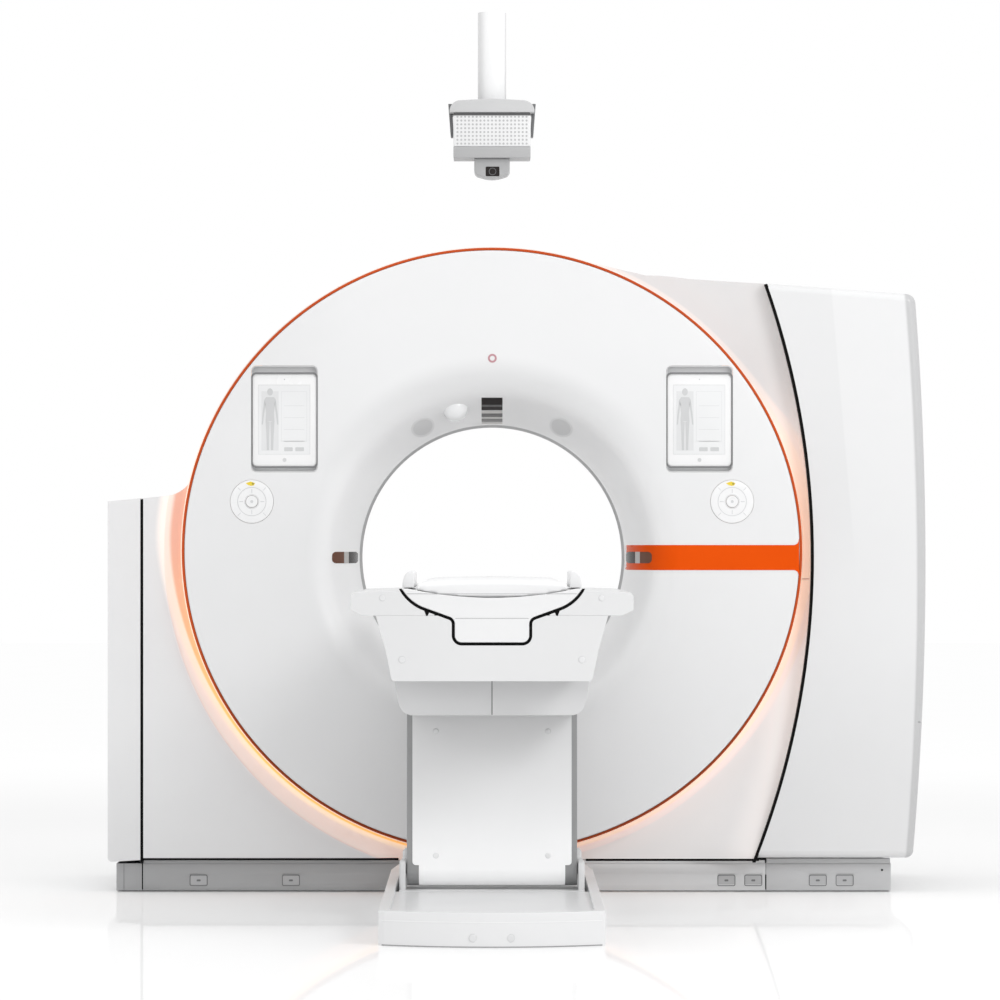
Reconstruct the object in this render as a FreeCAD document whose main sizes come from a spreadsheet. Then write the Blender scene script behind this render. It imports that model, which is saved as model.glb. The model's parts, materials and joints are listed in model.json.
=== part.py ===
"""A computed tomography scanner: a ring gantry, its patient table on two folding legs,
and the positioning camera that hangs from the ceiling over the table.

Millimetres, +Z up. The origin is on the floor straight under the middle of the patient bore,
the bore runs along Y, and the table stands on the -Y side.
"""

import FreeCAD, Part
import Sketcher

import math
import os
import re

Vector = FreeCAD.Vector
Rotation = FreeCAD.Rotation

doc = FreeCAD.newDocument("ct_scanner")

# ---------------------------------------------------------------- driving sizes

SIZES = {
    # gantry, from the axis of the bore
    "bore_height": 1020,
    "bore_radius": 410,
    "front_reach": 470,
    "rear_reach": 470,
    "cover_wall": 5,
    "seam_gap": 0.5,
    # the round face and the flare that leads into the bore
    "face_half_width": 934,
    "face_half_height": 913,
    "face_rise": 20,
    "face_rim_depth": 70,
    "face_edge_round": 6,
    "flare_radius": 570,
    "flare_depth": 300,
    "flare_lip_round": 100,
    "halo_ring_width": 8,
    "halo_ring_depth": 20,
    "halo_light_inset": 2,
    "halo_light_width": 24,
    "halo_light_depth": 10,
    "drum_margin": 16,
    "tube_wall": 4,
    # the bodies at the left and right of the ring
    "body_bottom": 92,
    "body_front_reach": 400,
    "body_rear_reach": 440,
    "body_wall": 6,
    "body_corner_round": 12,
    "cove_floor_reach": 372,
    "cove_start_radius": 935,
    "left_cove_radius": 1002,
    "left_cove_round": 200,
    "left_side": 1172,
    "left_seam_side": 1068,
    "left_top_outer": 1191,
    "left_top_inner": 1207,
    "left_saddle_side": 1005,
    "left_saddle_round": 100,
    "seam_width": 9,
    "seam_depth": 30,
    "seam_sink": 3,
    "right_shoulder_side": 300,
    "right_shoulder_top": 1921,
    "right_saddle_start": 470,
    "right_saddle_start_top": 1882,
    "right_saddle_end": 600,
    "right_saddle_end_top": 1871,
    "right_saddle_round": 850,
    "tower_front_reach": 440,
    "tower_top_inner": 1855,
    "tower_top_outer": 1823,
    "tower_side_top": 1290,
    "tower_side_bottom": 1282,
    "tower_side_round": 10200,
    "tower_shoulder_round": 30,
    "tower_edge_round": 40,
    "right_cove_radius": 1260,
    "right_cove_round": 620,
    "right_seam_round": 2498,
    "right_seam_centre_side": 1522,
    # plinth and base
    "plinth_inset": 22,
    "plinth_side_inset": 25,
    "plinth_right_inset": 64,
    "plinth_top_gap": 6,
    "plinth_split_offset": 140,
    "plinth_floor_gap": 3,
    "plinth_window_drop": 6,
    "plinth_window_corner": 6,
    "window_far_left": 896,
    "window_near_left": 614,
    "window_near_right": 716,
    "window_step_pair": 82,
    "window_step_inner": 118,
    "plinth_wall": 4,
    "plinth_window_width": 54,
    "plinth_window_height": 34,
    "plinth_window_depth": 2,
    "base_height": 80,
    "base_half_width": 1080,
    "base_half_depth": 350,
    "base_beam_width": 120,
    "base_flange": 12,
    "base_post_half": 40,
    "plinth_bar_bottom": 30,
    "plinth_bar_height": 30,
    "anchor_hole_radius": 9,
    "anchor_half_spacing_x": 1020,
    "anchor_half_spacing_y": 290,
    # stationary ring
    "stator_outer_radius": 850,
    "stator_inner_radius": 655,
    "stator_start": 170,
    "stator_thickness": 50,
    "stator_foot_half_width": 300,
    "passage_gap": 10,
    "stator_hole_circle": 752,
    "stator_hole_radius": 60,
    "stator_hole_start": -40,
    "stator_hole_pitch": 26,
    "stator_hole_count": 11,
    "race_width": 40,
    "race_outer_radius": 690,
    "race_roller_radius": 600,
    "race_inner_radius": 562,
    "roller_radius": 7,
    "roller_length": 16,
    "roller_count": 24,
    "cage_half_width": 3,
    "running_gap": 0.6,
    "coil_outer_radius": 720,
    "coil_depth": 60,
    "magnet_outer_radius": 650,
    "air_gap": 1.5,
    # rotating drum
    "rotor_outer_radius": 866,
    "rotor_bore_radius": 430,
    "rotor_plate_start": 60,
    "rotor_plate_thickness": 30,
    "rotor_rim_depth": 170,
    "rotor_rim_wall": 14,
    "hub_wall": 22,
    "slip_ring_start": 300,
    "slip_ring_thickness": 25,
    "slip_ring_outer_radius": 640,
    "brush_gap": 0.8,
    "brush_half_width": 60,
    "brush_depth": 36,
    "brush_length": 70,
    "brush_arm": 36,
    "brush_lift": 4,
    "tube_centre_radius": 715,
    "tube_body_radius": 92,
    "tube_body_length": 205,
    "tube_window_radius": 560,
    "collimator_depth": 150,
    "collimator_half_width": 75,
    "collimator_wall": 14,
    "detector_inner_radius": 490,
    "detector_thickness": 75,
    "detector_depth": 160,
    "detector_angle": 56,
    "generator_width": 300,
    "generator_height": 220,
    "generator_depth": 190,
    "generator_near": 595,
    "cooler_slot": 12,
    "cooler_fins": 7,
    "balance_thickness": 70,
    "balance_angle": 34,
    # fittings of the round face
    "dock_side": 630,
    "dock_height": 1441,
    "dock_width": 201,
    "dock_length": 323,
    "dock_depth": 28,
    "dock_corner": 16,
    "dock_wall": 2,
    "tablet_width": 195,
    "tablet_length": 280,
    "tablet_drop": 4,
    "tablet_depth": 11,
    "tablet_corner": 13,
    "tablet_sink": 5,
    "tablet_edge_round": 2,
    "dial_side": 729,
    "dial_height": 1190,
    "dial_radius": 66,
    "dial_groove_radius": 43,
    "dial_depth": 12,
    "dial_proud": 1.5,
    "button_radius": 18,
    "button_gap": 0.6,
    "button_proud": 3,
    "button_length": 8,
    "button_edge_round": 1,
    "dial_groove_width": 2,
    "band_height": 76,
    "band_thickness": 1.2,
    "band_end_round": 18,
    "window_height": 36,
    "window_inner": 413,
    "window_outer": 486,
    "window_thickness": 3,
    "top_window_width": 64,
    "top_window_low": 409,
    "top_window_high": 489,
    "dome_side": 112,
    "dome_rise": 449,
    "dome_radius": 36,
    "dome_sink": 12,
    "grille_side": 211,
    "grille_rise": 398,
    "grille_length": 66,
    "grille_width": 44,
    "grille_turn": 28,
    # table foot
    "foot_front": 2520,
    "foot_bow_round": 600,
    "foot_back": 378.5,
    "foot_half_width": 300,
    "foot_back_half_width": 275,
    "foot_taper_start": 760,
    "foot_height": 92,
    "foot_corner": 45,
    "foot_edge_round": 10,
    "well_front": 2410,
    "well_back": 640,
    "well_half_width": 272,
    "deck_drop": 10,
    "deck_corner": 30,
    "well_gap": 10,
    "well_floor": 40,
    "foot_screw_radius": 9,
    "foot_screw_half_spacing_x": 200,
    "foot_screw_front": 2280,
    "foot_screw_back": 740,
    # legs
    "leg_pivot_height": 140,
    "leg_length": 540,
    "front_leg_side": 1450,
    "rear_leg_side": 950,
    "leg_half_width": 241,
    "leg_half_depth": 48,
    "leg_window_inset": 60,
    "leg_cover_half_width": 225,
    "leg_cover_wall": 4,
    "leg_cover_tab_inset": 18,
    "pivot_shaft_radius": 16,
    "pivot_clearance": 0.4,
    "guard_gap": 3,
    "guard_thickness": 14,
    "guard_height": 82,
    "guard_tooth": 4,
    "guard_teeth": 6,
    "base_block_half_width": 262,
    "base_block_height": 43,
    "base_block_overhang": 110,
    "guard_half_length": 78,
    "guard_round": 30,
    "guard_pitch": 16,
    "leg_window_end": 80,
    "leg_window_corner": 30,
    "leg_edge_round": 3,
    "leg_cover_low": 12,
    "leg_cover_high": 515,
    "leg_cover_corner": 10,
    "leg_cover_tab_angle": 62,
    # moving table
    "housing_front": 2590,
    "housing_back": 640,
    "housing_bottom": 701,
    "housing_top": 872,
    "housing_bottom_half_width": 261,
    "housing_top_half_width": 303,
    "housing_waist_height": 780,
    "housing_waist_half_width": 277,
    "leg_bay_front": 1590,
    "leg_bay_half_width": 253,
    "housing_edge_round": 10,
    "channel_gap": 8,
    "channel_headroom": 20,
    "keel_half_width": 97,
    "keel_bottom": 802,
    "keel_round": 18,
    "keel_neck": 850,
    "keel_neck_round": 20,
    "wing_slope": 20,
    "wing_flat": 70,
    "wing_round": 110,
    "wing_top": 942,
    "cradle_rim": 14,
    "cradle_sag": 24,
    "tabletop_head": 520,
    "end_cap_length": 30,
    "shelf_half_width": 369,
    "shelf_top": 932,
    "shelf_inner_top": 940,
    "shelf_back": 1270,
    "shelf_edge_round": 14,
    "shelf_start": 150,
    "shelf_foot_inset": 30,
    "shelf_foot_rise": 14,
    "rail_side": 52,
    "rail_half_width": 14,
    "rail_clearance": 0.4,
    "rail_inset": 60,
    "tabletop_end_round": 30,
    "chassis_plate": 6,
    "chassis_half_width": 251,
    "chassis_deck_bottom": 745,
    "chassis_deck_top": 762,
    "chassis_front": 1560,
    "chassis_back": 820,
    "chassis_side_bottom": 645,
    "hood_front": 1690,
    "hood_back": 700,
    "hood_bottom": 582,
    "hood_half_width_top": 275,
    "hood_half_width_bottom": 258,
    "hood_wall": 5,
    "mattress_half_width": 205,
    "mattress_edge_height": 17,
    "mattress_draw": 5,
    "mattress_side_round": 12,
    "mattress_end_round": 5,
    "mattress_crown": 5,
    "mattress_gap": 0.4,
    "mattress_foot": 2540,
    "mattress_head": 560,
    # ceiling camera
    "camera_side_y": 1500,
    "ceiling_height": 2561,
    "pole_radius": 40,
    "pole_wall": 4,
    "pole_end_plate": 12,
    "pole_bolt_circle": 25,
    "pole_bolt_radius": 4.2,
    "yoke_top": 2318,
    "yoke_height": 34,
    "yoke_half_width": 123,
    "yoke_half_depth": 78,
    "yoke_leg": 76,
    "yoke_leg_width": 46,
    "yoke_plate": 4,
    "camera_half_width": 109,
    "camera_half_depth": 72,
    "camera_top": 2276,
    "camera_split": 2185,
    "camera_bottom": 2143,
    "lens_half_width": 50,
    "lens_bottom": 2090,
    "camera_corner": 14,
    "camera_wall": 4,
    "camera_neck_radius": 30,
    "camera_pivot_radius": 10,
    "lens_half_depth": 50,
    "lens_recess": 3,
    "lens_corner": 6,
}

# sizes that follow from the ones above
DERIVED = {
    "face_height": "bore_height + face_rise",
    "flare_fall": "flare_radius - bore_radius",
    "flare_run": "flare_depth - flare_lip_round",
    "flare_throat_round": "(flare_fall^2 + flare_run^2 - flare_lip_round^2)"
                          " / (2 * (flare_fall - flare_lip_round))",
    "flare_turn_cos": "flare_run / (flare_throat_round - flare_lip_round)",
    "flare_turn_sin": "(flare_throat_round - flare_fall) / (flare_throat_round - flare_lip_round)",
    "drum_half_width": "face_half_width + drum_margin",
    "drum_half_height": "face_half_height + drum_margin",
    "drum_front_reach": "front_reach - face_rim_depth - halo_light_depth",
    "drum_back_reach": "rear_reach - face_rim_depth",
    "wing_join_x": "keel_half_width + keel_neck_round * (1 - sin(wing_slope)) + wing_flat * cos(wing_slope)",
    "wing_join_z": "keel_neck + keel_neck_round * cos(wing_slope) + wing_flat * sin(wing_slope)",
    "wing_centre_x": "wing_join_x - wing_round * sin(wing_slope)",
    "wing_centre_z": "wing_join_z + wing_round * cos(wing_slope)",
    "wing_half_width": "wing_centre_x + sqrt(wing_round^2 - (wing_top - wing_centre_z)^2)",
    "cradle_half_width": "wing_half_width - cradle_rim",
    "cradle_round": "(cradle_half_width^2 + cradle_sag^2) / (2 * cradle_sag)",
    "leg_top_height": "leg_pivot_height + leg_length",
}

sheet = doc.addObject("Spreadsheet::Sheet", "sizes")
for row, (name, value) in enumerate(list(SIZES.items()) + [(n, "=" + f) for n, f in DERIVED.items()],
                                    start=1):
    sheet.set(f"A{row}", name)
    sheet.set(f"B{row}", str(value))
    sheet.setAlias(f"B{row}", name)
doc.recompute()

NAMES = re.compile(r"\b(" + "|".join(sorted(list(SIZES) + list(DERIVED), key=len, reverse=True)) + r")\b")


def linked(formula):
    """The formula with each size's name pointing at its cell."""
    return NAMES.sub(r"sizes.\1", str(formula))


def number(formula):
    """The value of a formula in sizes."""
    return float(sheet.evalExpression(str(formula)))


def bind(thing, **formulas):
    """Ties each property of a document object to a formula; two underscores stand for a dot."""
    for name, formula in formulas.items():
        thing.setExpression(name.replace("__", "."), linked(formula))


# ---------------------------------------------------------------- sketches

ROLES = {"XY": "XY_Plane", "XZ": "XZ_Plane", "YZ": "YZ_Plane"}
FACING = {"XY": 1, "XZ": -1, "YZ": 1}


def draw_outline(sketch, points):
    """Draws one closed outline.

    A point is (x, y), or (x, y, r) where the edge that arrives there is an arc of radius r: with its centre
    on the left of the way along the outline, or on the right where r starts with "-".
    """
    places = [Vector(number(p[0]), number(p[1]), 0) for p in points]
    edges = []
    for i, point in enumerate(points):
        start, end = places[i - 1], places[i]
        if len(point) == 2:
            edges.append((sketch.addGeometry(Part.LineSegment(start, end), False), 1, 2))
            continue
        right = str(point[2]).startswith("-")
        radius = number(str(point[2]).lstrip("-"))
        chord = end - start
        middle = (start + end) * 0.5
        square = Vector(-chord.y, chord.x, 0).normalize()
        reach = math.sqrt(max(radius**2 - (chord.Length / 2) ** 2, 0))
        centre = middle + square * (-reach if right else reach)
        low, high = (end, start) if right else (start, end)
        turn = [math.atan2(p.y - centre.y, p.x - centre.x) for p in (low, high)]
        arc = Part.ArcOfCircle(Part.Circle(centre, Vector(0, 0, 1), radius), turn[0], turn[1])
        edge = sketch.addGeometry(arc, False)
        edges.append((edge, 2, 1) if right else (edge, 1, 2))
        size = sketch.addConstraint(Sketcher.Constraint("Radius", edge, radius))
        sketch.setExpression(f"Constraints[{size}]", linked(str(point[2]).lstrip("-")))
    for i, point in enumerate(points):
        edge, _, last = edges[i]
        following, first, _ = edges[(i + 1) % len(edges)]
        sketch.addConstraint(Sketcher.Constraint("Coincident", edge, last, following, first))
        for direction, formula, value in (("X", point[0], places[i].x), ("Y", point[1], places[i].y)):
            size = sketch.addConstraint(Sketcher.Constraint(f"Distance{direction}", -1, 1, edge, last, value))
            sketch.setExpression(f"Constraints[{size}]", linked(formula))


def draw_circle(sketch, x, y, radius):
    """Draws a circle of a bound centre and radius."""
    place = Vector(number(x), number(y), 0)
    edge = sketch.addGeometry(Part.Circle(place, Vector(0, 0, 1), number(radius)), False)
    rows = [
        (Sketcher.Constraint("Radius", edge, number(radius)), radius),
        (Sketcher.Constraint("DistanceX", -1, 1, edge, 3, place.x), x),
        (Sketcher.Constraint("DistanceY", -1, 1, edge, 3, place.y), y),
    ]
    for row, formula in rows:
        size = sketch.addConstraint(row)
        sketch.setExpression(f"Constraints[{size}]", linked(formula))


class Piece:
    """A PartDesign body, with short calls for the features that make it."""

    def __init__(self, label):
        self.body = doc.addObject("PartDesign::Body", label)
        self.body.Label = label
        self.count = 0

    def sketch(self, plane, start, outlines, circles, centre):
        origin = self.body.Origin.OriginFeatures
        support = next(f for f in origin if f.Role == ROLES[plane])
        self.count += 1
        sketch = self.body.newObject("Sketcher::SketchObject", f"{self.body.Name}_sketch{self.count}")
        sketch.AttachmentSupport = [(support, "")]
        sketch.MapMode = "FlatFace"
        sketch.setExpression("AttachmentOffset.Base.x", linked(centre[0]))
        sketch.setExpression("AttachmentOffset.Base.y", linked(centre[1]))
        sketch.setExpression("AttachmentOffset.Base.z", linked(f"{FACING[plane]} * ({start})"))
        for points in outlines:
            draw_outline(sketch, points)
        for x, y, radius in circles:
            draw_circle(sketch, x, y, radius)
        return sketch

    def feature(self, kind, sketch):
        feature = self.body.newObject(f"PartDesign::{kind}", f"{self.body.Name}_{kind}{self.count}")
        feature.Profile = sketch
        sketch.Visibility = False
        return feature

    def pad(self, plane, start, length, outlines=(), circles=(), centre=(0, 0)):
        """Adds the outlines, drawn on the plane at start, and grown by length along the plane's axis."""
        pad = self.feature("Pad", self.sketch(plane, start, outlines, circles, centre))
        bind(pad, Length=length)
        pad.Reversed = FACING[plane] < 0
        return self

    def pocket(self, plane, start, length, outlines=(), circles=(), centre=(0, 0)):
        """Cuts the outlines away, from start along the plane's axis."""
        pocket = self.feature("Pocket", self.sketch(plane, start, outlines, circles, centre))
        bind(pocket, Length=length)
        pocket.Reversed = FACING[plane] > 0
        return self

    def turn(self, outlines, kind="Revolution", centre=(0, "bore_height"), angle=360):
        """Turns outlines of (y, radius) about a line along Y, by default the axis of the bore."""
        feature = self.feature(kind, self.sketch("YZ", 0, outlines, (), centre))
        feature.ReferenceAxis = (feature.Profile[0], ["H_Axis"])
        bind(feature, Angle=angle)
        feature.Midplane = angle != 360
        return self

    def round(self, radius, wanted, kind="Fillet"):
        """Rounds, or bevels, the edges that wanted picks."""
        doc.recompute()
        base = self.body.Tip
        chosen = [f"Edge{i}" for i, edge in enumerate(base.Shape.Edges, start=1) if wanted(edge)]
        feature = self.body.newObject(f"PartDesign::{kind}", f"{self.body.Name}_{kind}{self.count}")
        self.count += 1
        feature.Base = (base, chosen)
        bind(feature, **{"Radius" if kind == "Fillet" else "Size": radius})
        return self


def runs_along(edge, axis):
    """True for a straight edge along X, Y or Z."""
    if edge.Curve.TypeId != "Part::GeomLine":
        return False
    return abs(abs(edge.Curve.Direction["XYZ".index(axis)]) - 1) < 1e-6


def rectangle(low_x, low_y, high_x, high_y):
    return [(low_x, low_y), (high_x, low_y), (high_x, high_y), (low_x, high_y)]


def round_rectangle(x, y, width, height, corner):
    """An outline of a rectangle with round corners about the point x, y."""
    left, right = f"{x} - {width} / 2", f"{x} + {width} / 2"
    low, high = f"{y} - {height} / 2", f"{y} + {height} / 2"
    return [
        (f"{left} + {corner}", low),
        (f"{right} - {corner}", low),
        (right, f"{low} + {corner}", corner),
        (right, f"{high} - {corner}"),
        (f"{right} - {corner}", high, corner),
        (f"{left} + {corner}", high),
        (left, f"{high} - {corner}", corner),
        (left, f"{low} + {corner}"),
        (f"{left} + {corner}", low, corner),
    ][1:]


def mirrored(points):
    """The outline on the other side of the middle plane x = 0."""
    turned = []
    for i in range(len(points)):
        point = points[-i - 1]
        arrives = points[-i]  # the edge that is now walked the other way
        x = f"-({point[0]})"
        if i > 0 and len(arrives) == 3:
            turned.append((x, point[1], arrives[2]))
        elif i == 0 and len(points[0]) == 3:
            turned.append((x, point[1], points[0][2]))
        else:
            turned.append((x, point[1]))
    return turned


# ---------------------------------------------------------------- solids from ellipses and booleans


def oval(name, half_width, half_height, start, length):
    """An upright elliptic drum about the face's middle, from y = start."""
    ellipse = doc.addObject("Part::Ellipse", f"{name}_line")
    bind(ellipse, MajorRadius=half_width, MinorRadius=half_height)
    ellipse.Placement = FreeCAD.Placement(Vector(), Rotation(Vector(1, 0, 0), 90))
    bind(ellipse, Placement__Base__y=start, Placement__Base__z="face_height")
    drum = doc.addObject("Part::Extrusion", name)
    drum.Base = ellipse
    drum.DirMode = "Custom"
    drum.Dir = Vector(0, 1, 0)
    drum.Solid = True
    bind(drum, LengthFwd=length)
    return drum


def shape_of(thing):
    return thing.body if isinstance(thing, Piece) else thing


def combine(kind, label, *things):
    """A boolean of several objects, the last step of a sub-part or one on the way to it."""
    things = [shape_of(t) for t in things]
    if kind == "Cut":
        result = doc.addObject("Part::Cut", label)
        result.Base = things[0]
        result.Tool = things[1]
    else:
        result = doc.addObject(f"Part::Multi{kind}", label)
        result.Shapes = things
    result.Label = label
    return result


def cut(label, base, tool):
    return combine("Cut", label, base, tool)


def fuse(label, *things):
    return combine("Fuse", label, *things)


def common(label, *things):
    return combine("Common", label, *things)


def rounded(label, base, radius, wanted):
    """A copy of an object with the picked edges rounded."""
    base = shape_of(base)
    doc.recompute()
    result = doc.addObject("Part::Fillet", label)
    result.Base = base
    size = number(radius)
    result.Edges = [(i, size, size) for i, edge in enumerate(base.Shape.Edges, start=1) if wanted(edge)]
    result.Label = label
    return result


NODES = {}


def keep(node, thing):
    """Marks an object as a sub-part of the scanner, under its own name."""
    thing = shape_of(thing)
    thing.Label = node
    NODES[node] = thing
    return thing


# ---------------------------------------------------------------- round face, flare, bore


def flare_profile(side, wall, far):
    """The region inside the flare of one side (-1 front, 1 rear) as (y, radius) points.

    Its wall is moved inward by wall, and its face plane to the reach far.
    """
    reach = "front_reach" if side < 0 else "rear_reach"
    lip_y = f"({reach} - flare_lip_round)"
    throat = f"({reach} - flare_depth)"
    lip = f"(flare_lip_round - {wall})"
    turn_y = f"{lip_y} + {lip} * flare_turn_cos"
    turn_r = f"flare_radius - {lip} * flare_turn_sin"
    end = f"{lip_y} + {lip}"
    radius = f"(flare_throat_round - {wall})"
    bend = ("", "") if side < 0 else ("-", "-")
    sign = "-" if side < 0 else ""
    return [
        (f"{sign}({throat})", 0),
        (f"{sign}({far})", 0),
        (f"{sign}({far})", "flare_radius"),
        (f"{sign}({end})", "flare_radius"),
        (f"{sign}({turn_y})", turn_r, bend[0] + lip),
        (f"{sign}({throat})", f"bore_radius + {wall}", bend[1] + radius),
    ]


def face_cover(side, label):
    """The round cover of one side: a shallow oval pan that runs into the flare of the bore."""
    reach = "front_reach" if side < 0 else "rear_reach"
    name = label.replace("_cover", "")
    start = f"-{reach}" if side < 0 else f"{reach} - face_rim_depth"
    inner_start = f"-{reach} + cover_wall" if side < 0 else f"{reach} - face_rim_depth"
    outer = oval(f"{name}_pan", "face_half_width", "face_half_height", start, "face_rim_depth")
    face_y = number(f"-{reach}" if side < 0 else reach)
    soft = rounded(f"{name}_soft", outer, "face_edge_round", lambda e: abs(e.BoundBox.YMin - face_y) < 0.01
                   and abs(e.BoundBox.YMax - face_y) < 0.01
                   and e.BoundBox.XLength > number("face_half_width"))
    hollow = oval(f"{name}_hollow", "face_half_width - cover_wall", "face_half_height - cover_wall",
                  inner_start, "face_rim_depth - cover_wall")
    pan = cut(f"{name}_shell", soft, hollow)
    plug = Piece(f"{name}_plug").turn([flare_profile(side, "cover_wall", f"{reach} - cover_wall / 2")])
    void = Piece(f"{name}_void").turn([flare_profile(side, "0", f"{reach} + cover_wall")])
    return cut(f"{name}_open", fuse(f"{name}_whole", pan, plug), void)


def prism(name, plane, start, length, *outlines):
    """A plain solid for cutting and joining."""
    return Piece(name).pad(plane, start, length, outlines)


front_face = face_cover(-1, "front_cover")

# places through the front cover
DOCKS = {"left": "-dock_side", "right": "dock_side"}
dock_holes = [round_rectangle(x, "dock_height", "dock_width", "dock_length", "dock_corner")
              for x in DOCKS.values()]
dial_holes = [(x.replace("dock_side", "dial_side"), "dial_height", "dial_radius") for x in DOCKS.values()]
fitting_cutter = Piece("fitting_cutter").pad("XZ", "-front_reach - cover_wall", "3 * cover_wall",
                                             dock_holes, dial_holes)


window_low = "bore_height - window_height / 2"
window_high = "bore_height + window_height / 2"
side_windows = [
    rectangle("-window_outer", window_low, "-window_inner", window_high),
    rectangle("window_inner", window_low, "window_outer", window_high),
]
top_window = rectangle("-top_window_width / 2", "bore_height + top_window_low", "top_window_width / 2",
                       "bore_height + top_window_high")
window_cutter = prism("window_cutter", "XZ", "-front_reach - cover_wall", "flare_depth + cover_wall",
                      *side_windows, top_window)
skin_outer = Piece("skin_outer").turn([flare_profile(-1, "window_thickness", "front_reach")])
skin_inner = Piece("skin_inner").turn([flare_profile(-1, "0", "front_reach + cover_wall")])
skin = cut("flare_skin", skin_outer, skin_inner)
pane_sides = [
    rectangle("-window_outer + seam_gap", f"{window_low} + seam_gap", "-window_inner - seam_gap",
              f"{window_high} - seam_gap"),
    rectangle("window_inner + seam_gap", f"{window_low} + seam_gap", "window_outer - seam_gap",
              f"{window_high} - seam_gap"),
    rectangle("-top_window_width / 2 + seam_gap", "bore_height + top_window_low + seam_gap",
              "top_window_width / 2 - seam_gap", "bore_height + top_window_high - seam_gap"),
]
panes = prism("pane_block", "XZ", "-front_reach - cover_wall", "flare_depth + cover_wall", *pane_sides)
keep("laser_windows", common("laser_windows", skin, panes))


# orange band: a thin inlay from the edge of the bore to the ring, over the flare and the face
band_low = "bore_height - band_height / 2"
band_high = "bore_height + band_height / 2"
band_outline = [
    ("bore_radius + seam_gap", band_low),
    ("face_half_width - 2 * band_end_round", band_low),
    ("face_half_width - band_end_round", f"{band_low} - band_end_round", "-band_end_round"),
    ("face_half_width + band_end_round", f"{band_low} - band_end_round"),
    ("face_half_width + band_end_round", f"{band_high} + band_end_round"),
    ("face_half_width - band_end_round", f"{band_high} + band_end_round"),
    ("face_half_width - 2 * band_end_round", band_high, "-band_end_round"),
    ("bore_radius + seam_gap", band_high),
]
band_block = prism("band_block", "XZ", "-front_reach - band_thickness", "flare_depth + band_thickness",
                   band_outline)
band_limit = oval("band_limit", "face_half_width - face_edge_round", "face_half_height - face_edge_round",
                  "-front_reach - band_thickness", "flare_depth + band_thickness")
band_void = Piece("band_void").turn([flare_profile(-1, "0", "front_reach + band_thickness")])
band_slab = Piece("band_slab").pad("XZ", "-front_reach - band_thickness", "band_thickness",
                                   circles=[(0, "face_height", "2 * face_half_width")])
band_air = Piece("band_air").turn([flare_profile(-1, "-band_thickness", "front_reach + 2 * band_thickness")])
band_layer = cut("band_layer", fuse("band_region", band_void, band_slab), band_air)
keep("orange_band", cut("orange_band", common("band_cut", band_block, band_limit, band_layer), window_cutter))

# ring trim, its light and the drum behind the face
keep("halo_ring", cut("halo_ring",
     oval("ring_outer", "face_half_width + halo_ring_width", "face_half_height + halo_ring_width",
          "-front_reach + face_edge_round / 2", "halo_ring_depth"),
     oval("ring_inner", "face_half_width", "face_half_height", "-front_reach", "face_rim_depth")))
light_inner = "halo_light_inset - halo_light_width"
light_hole = oval("light_inner", "face_half_width - halo_light_inset - halo_light_width",
                  "face_half_height - halo_light_inset - halo_light_width", "-front_reach",
                  "front_reach + rear_reach")
keep("halo_light", cut("halo_light",
     oval("light_outer", "face_half_width - halo_light_inset", "face_half_height - halo_light_inset",
          "-front_reach + face_rim_depth", "halo_light_depth"), light_hole))
drum_shell = cut("drum_shell",
                 oval("drum_outer", "drum_half_width", "drum_half_height", "-drum_front_reach",
                      "drum_front_reach + drum_back_reach"),
                 oval("drum_inner", "drum_half_width - cover_wall", "drum_half_height - cover_wall",
                      "-drum_front_reach + cover_wall",
                      "drum_front_reach + drum_back_reach - 2 * cover_wall"))
foot_passage = prism("foot_passage", "XZ", "stator_start - passage_gap", "stator_thickness + 2 * passage_gap",
                     rectangle("-stator_foot_half_width - passage_gap", 0,
                               "stator_foot_half_width + passage_gap",
                               "bore_height - stator_inner_radius"))
keep("drum_cover", cut("drum_cover", cut("drum_open", drum_shell, light_hole), foot_passage))
keep("rear_cover", face_cover(1, "rear_cover"))
keep("bore_tube", Piece("bore_tube").pad("XZ", "-front_reach + flare_depth",
     "front_reach + rear_reach - 2 * flare_depth",
     circles=[(0, 0, "bore_radius + tube_wall"), (0, 0, "bore_radius")], centre=(0, "bore_height")))


def body_hole(name, margin):
    """The space that the drum takes out of the bodies beside it."""
    return oval(name, f"drum_half_width + {margin}", f"drum_half_height + {margin}", "-tower_front_reach - 1",
                "tower_front_reach + body_rear_reach + 2")


def cove(name, reach, floor, start, end, bend):
    """The space in front of the hollow curve that leads from the ring out to a body's front."""
    return Piece(name).turn([[
        (f"-({reach}) - 20", 0),
        (f"-({floor})", 0),
        (f"-({floor})", start),
        (f"-({reach}) - 1", end, f"-{bend}"),
        (f"-({reach}) - 20", end),
    ]], centre=(0, "face_height"))


drum_seat = body_hole("drum_seat", "seam_gap")
wall_seat = body_hole("wall_seat", "seam_gap + body_wall")


def left_top(x):
    """Height of the left body's top at a distance from the middle."""
    return (f"left_top_inner - (left_top_inner - left_top_outer) * ({x} - left_saddle_side)"
            " / (left_side - left_saddle_side)")


def left_front_outline(inset):
    edge = f"left_seam_side - seam_width / 2 - {inset}"
    return [
        (f"-({edge})", f"body_bottom + {inset}"),
        ("-seam_gap / 2", f"body_bottom + {inset}"),
        ("-seam_gap / 2", "bore_height"),
        (f"-left_saddle_side + left_saddle_round + {inset}", "left_top_inner + left_saddle_round"),
        ("-left_saddle_side", f"left_top_inner - {inset}", f"-(left_saddle_round + {inset})"),
        (f"-({edge})", f"{left_top('left_seam_side')} - {inset}"),
    ]


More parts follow.
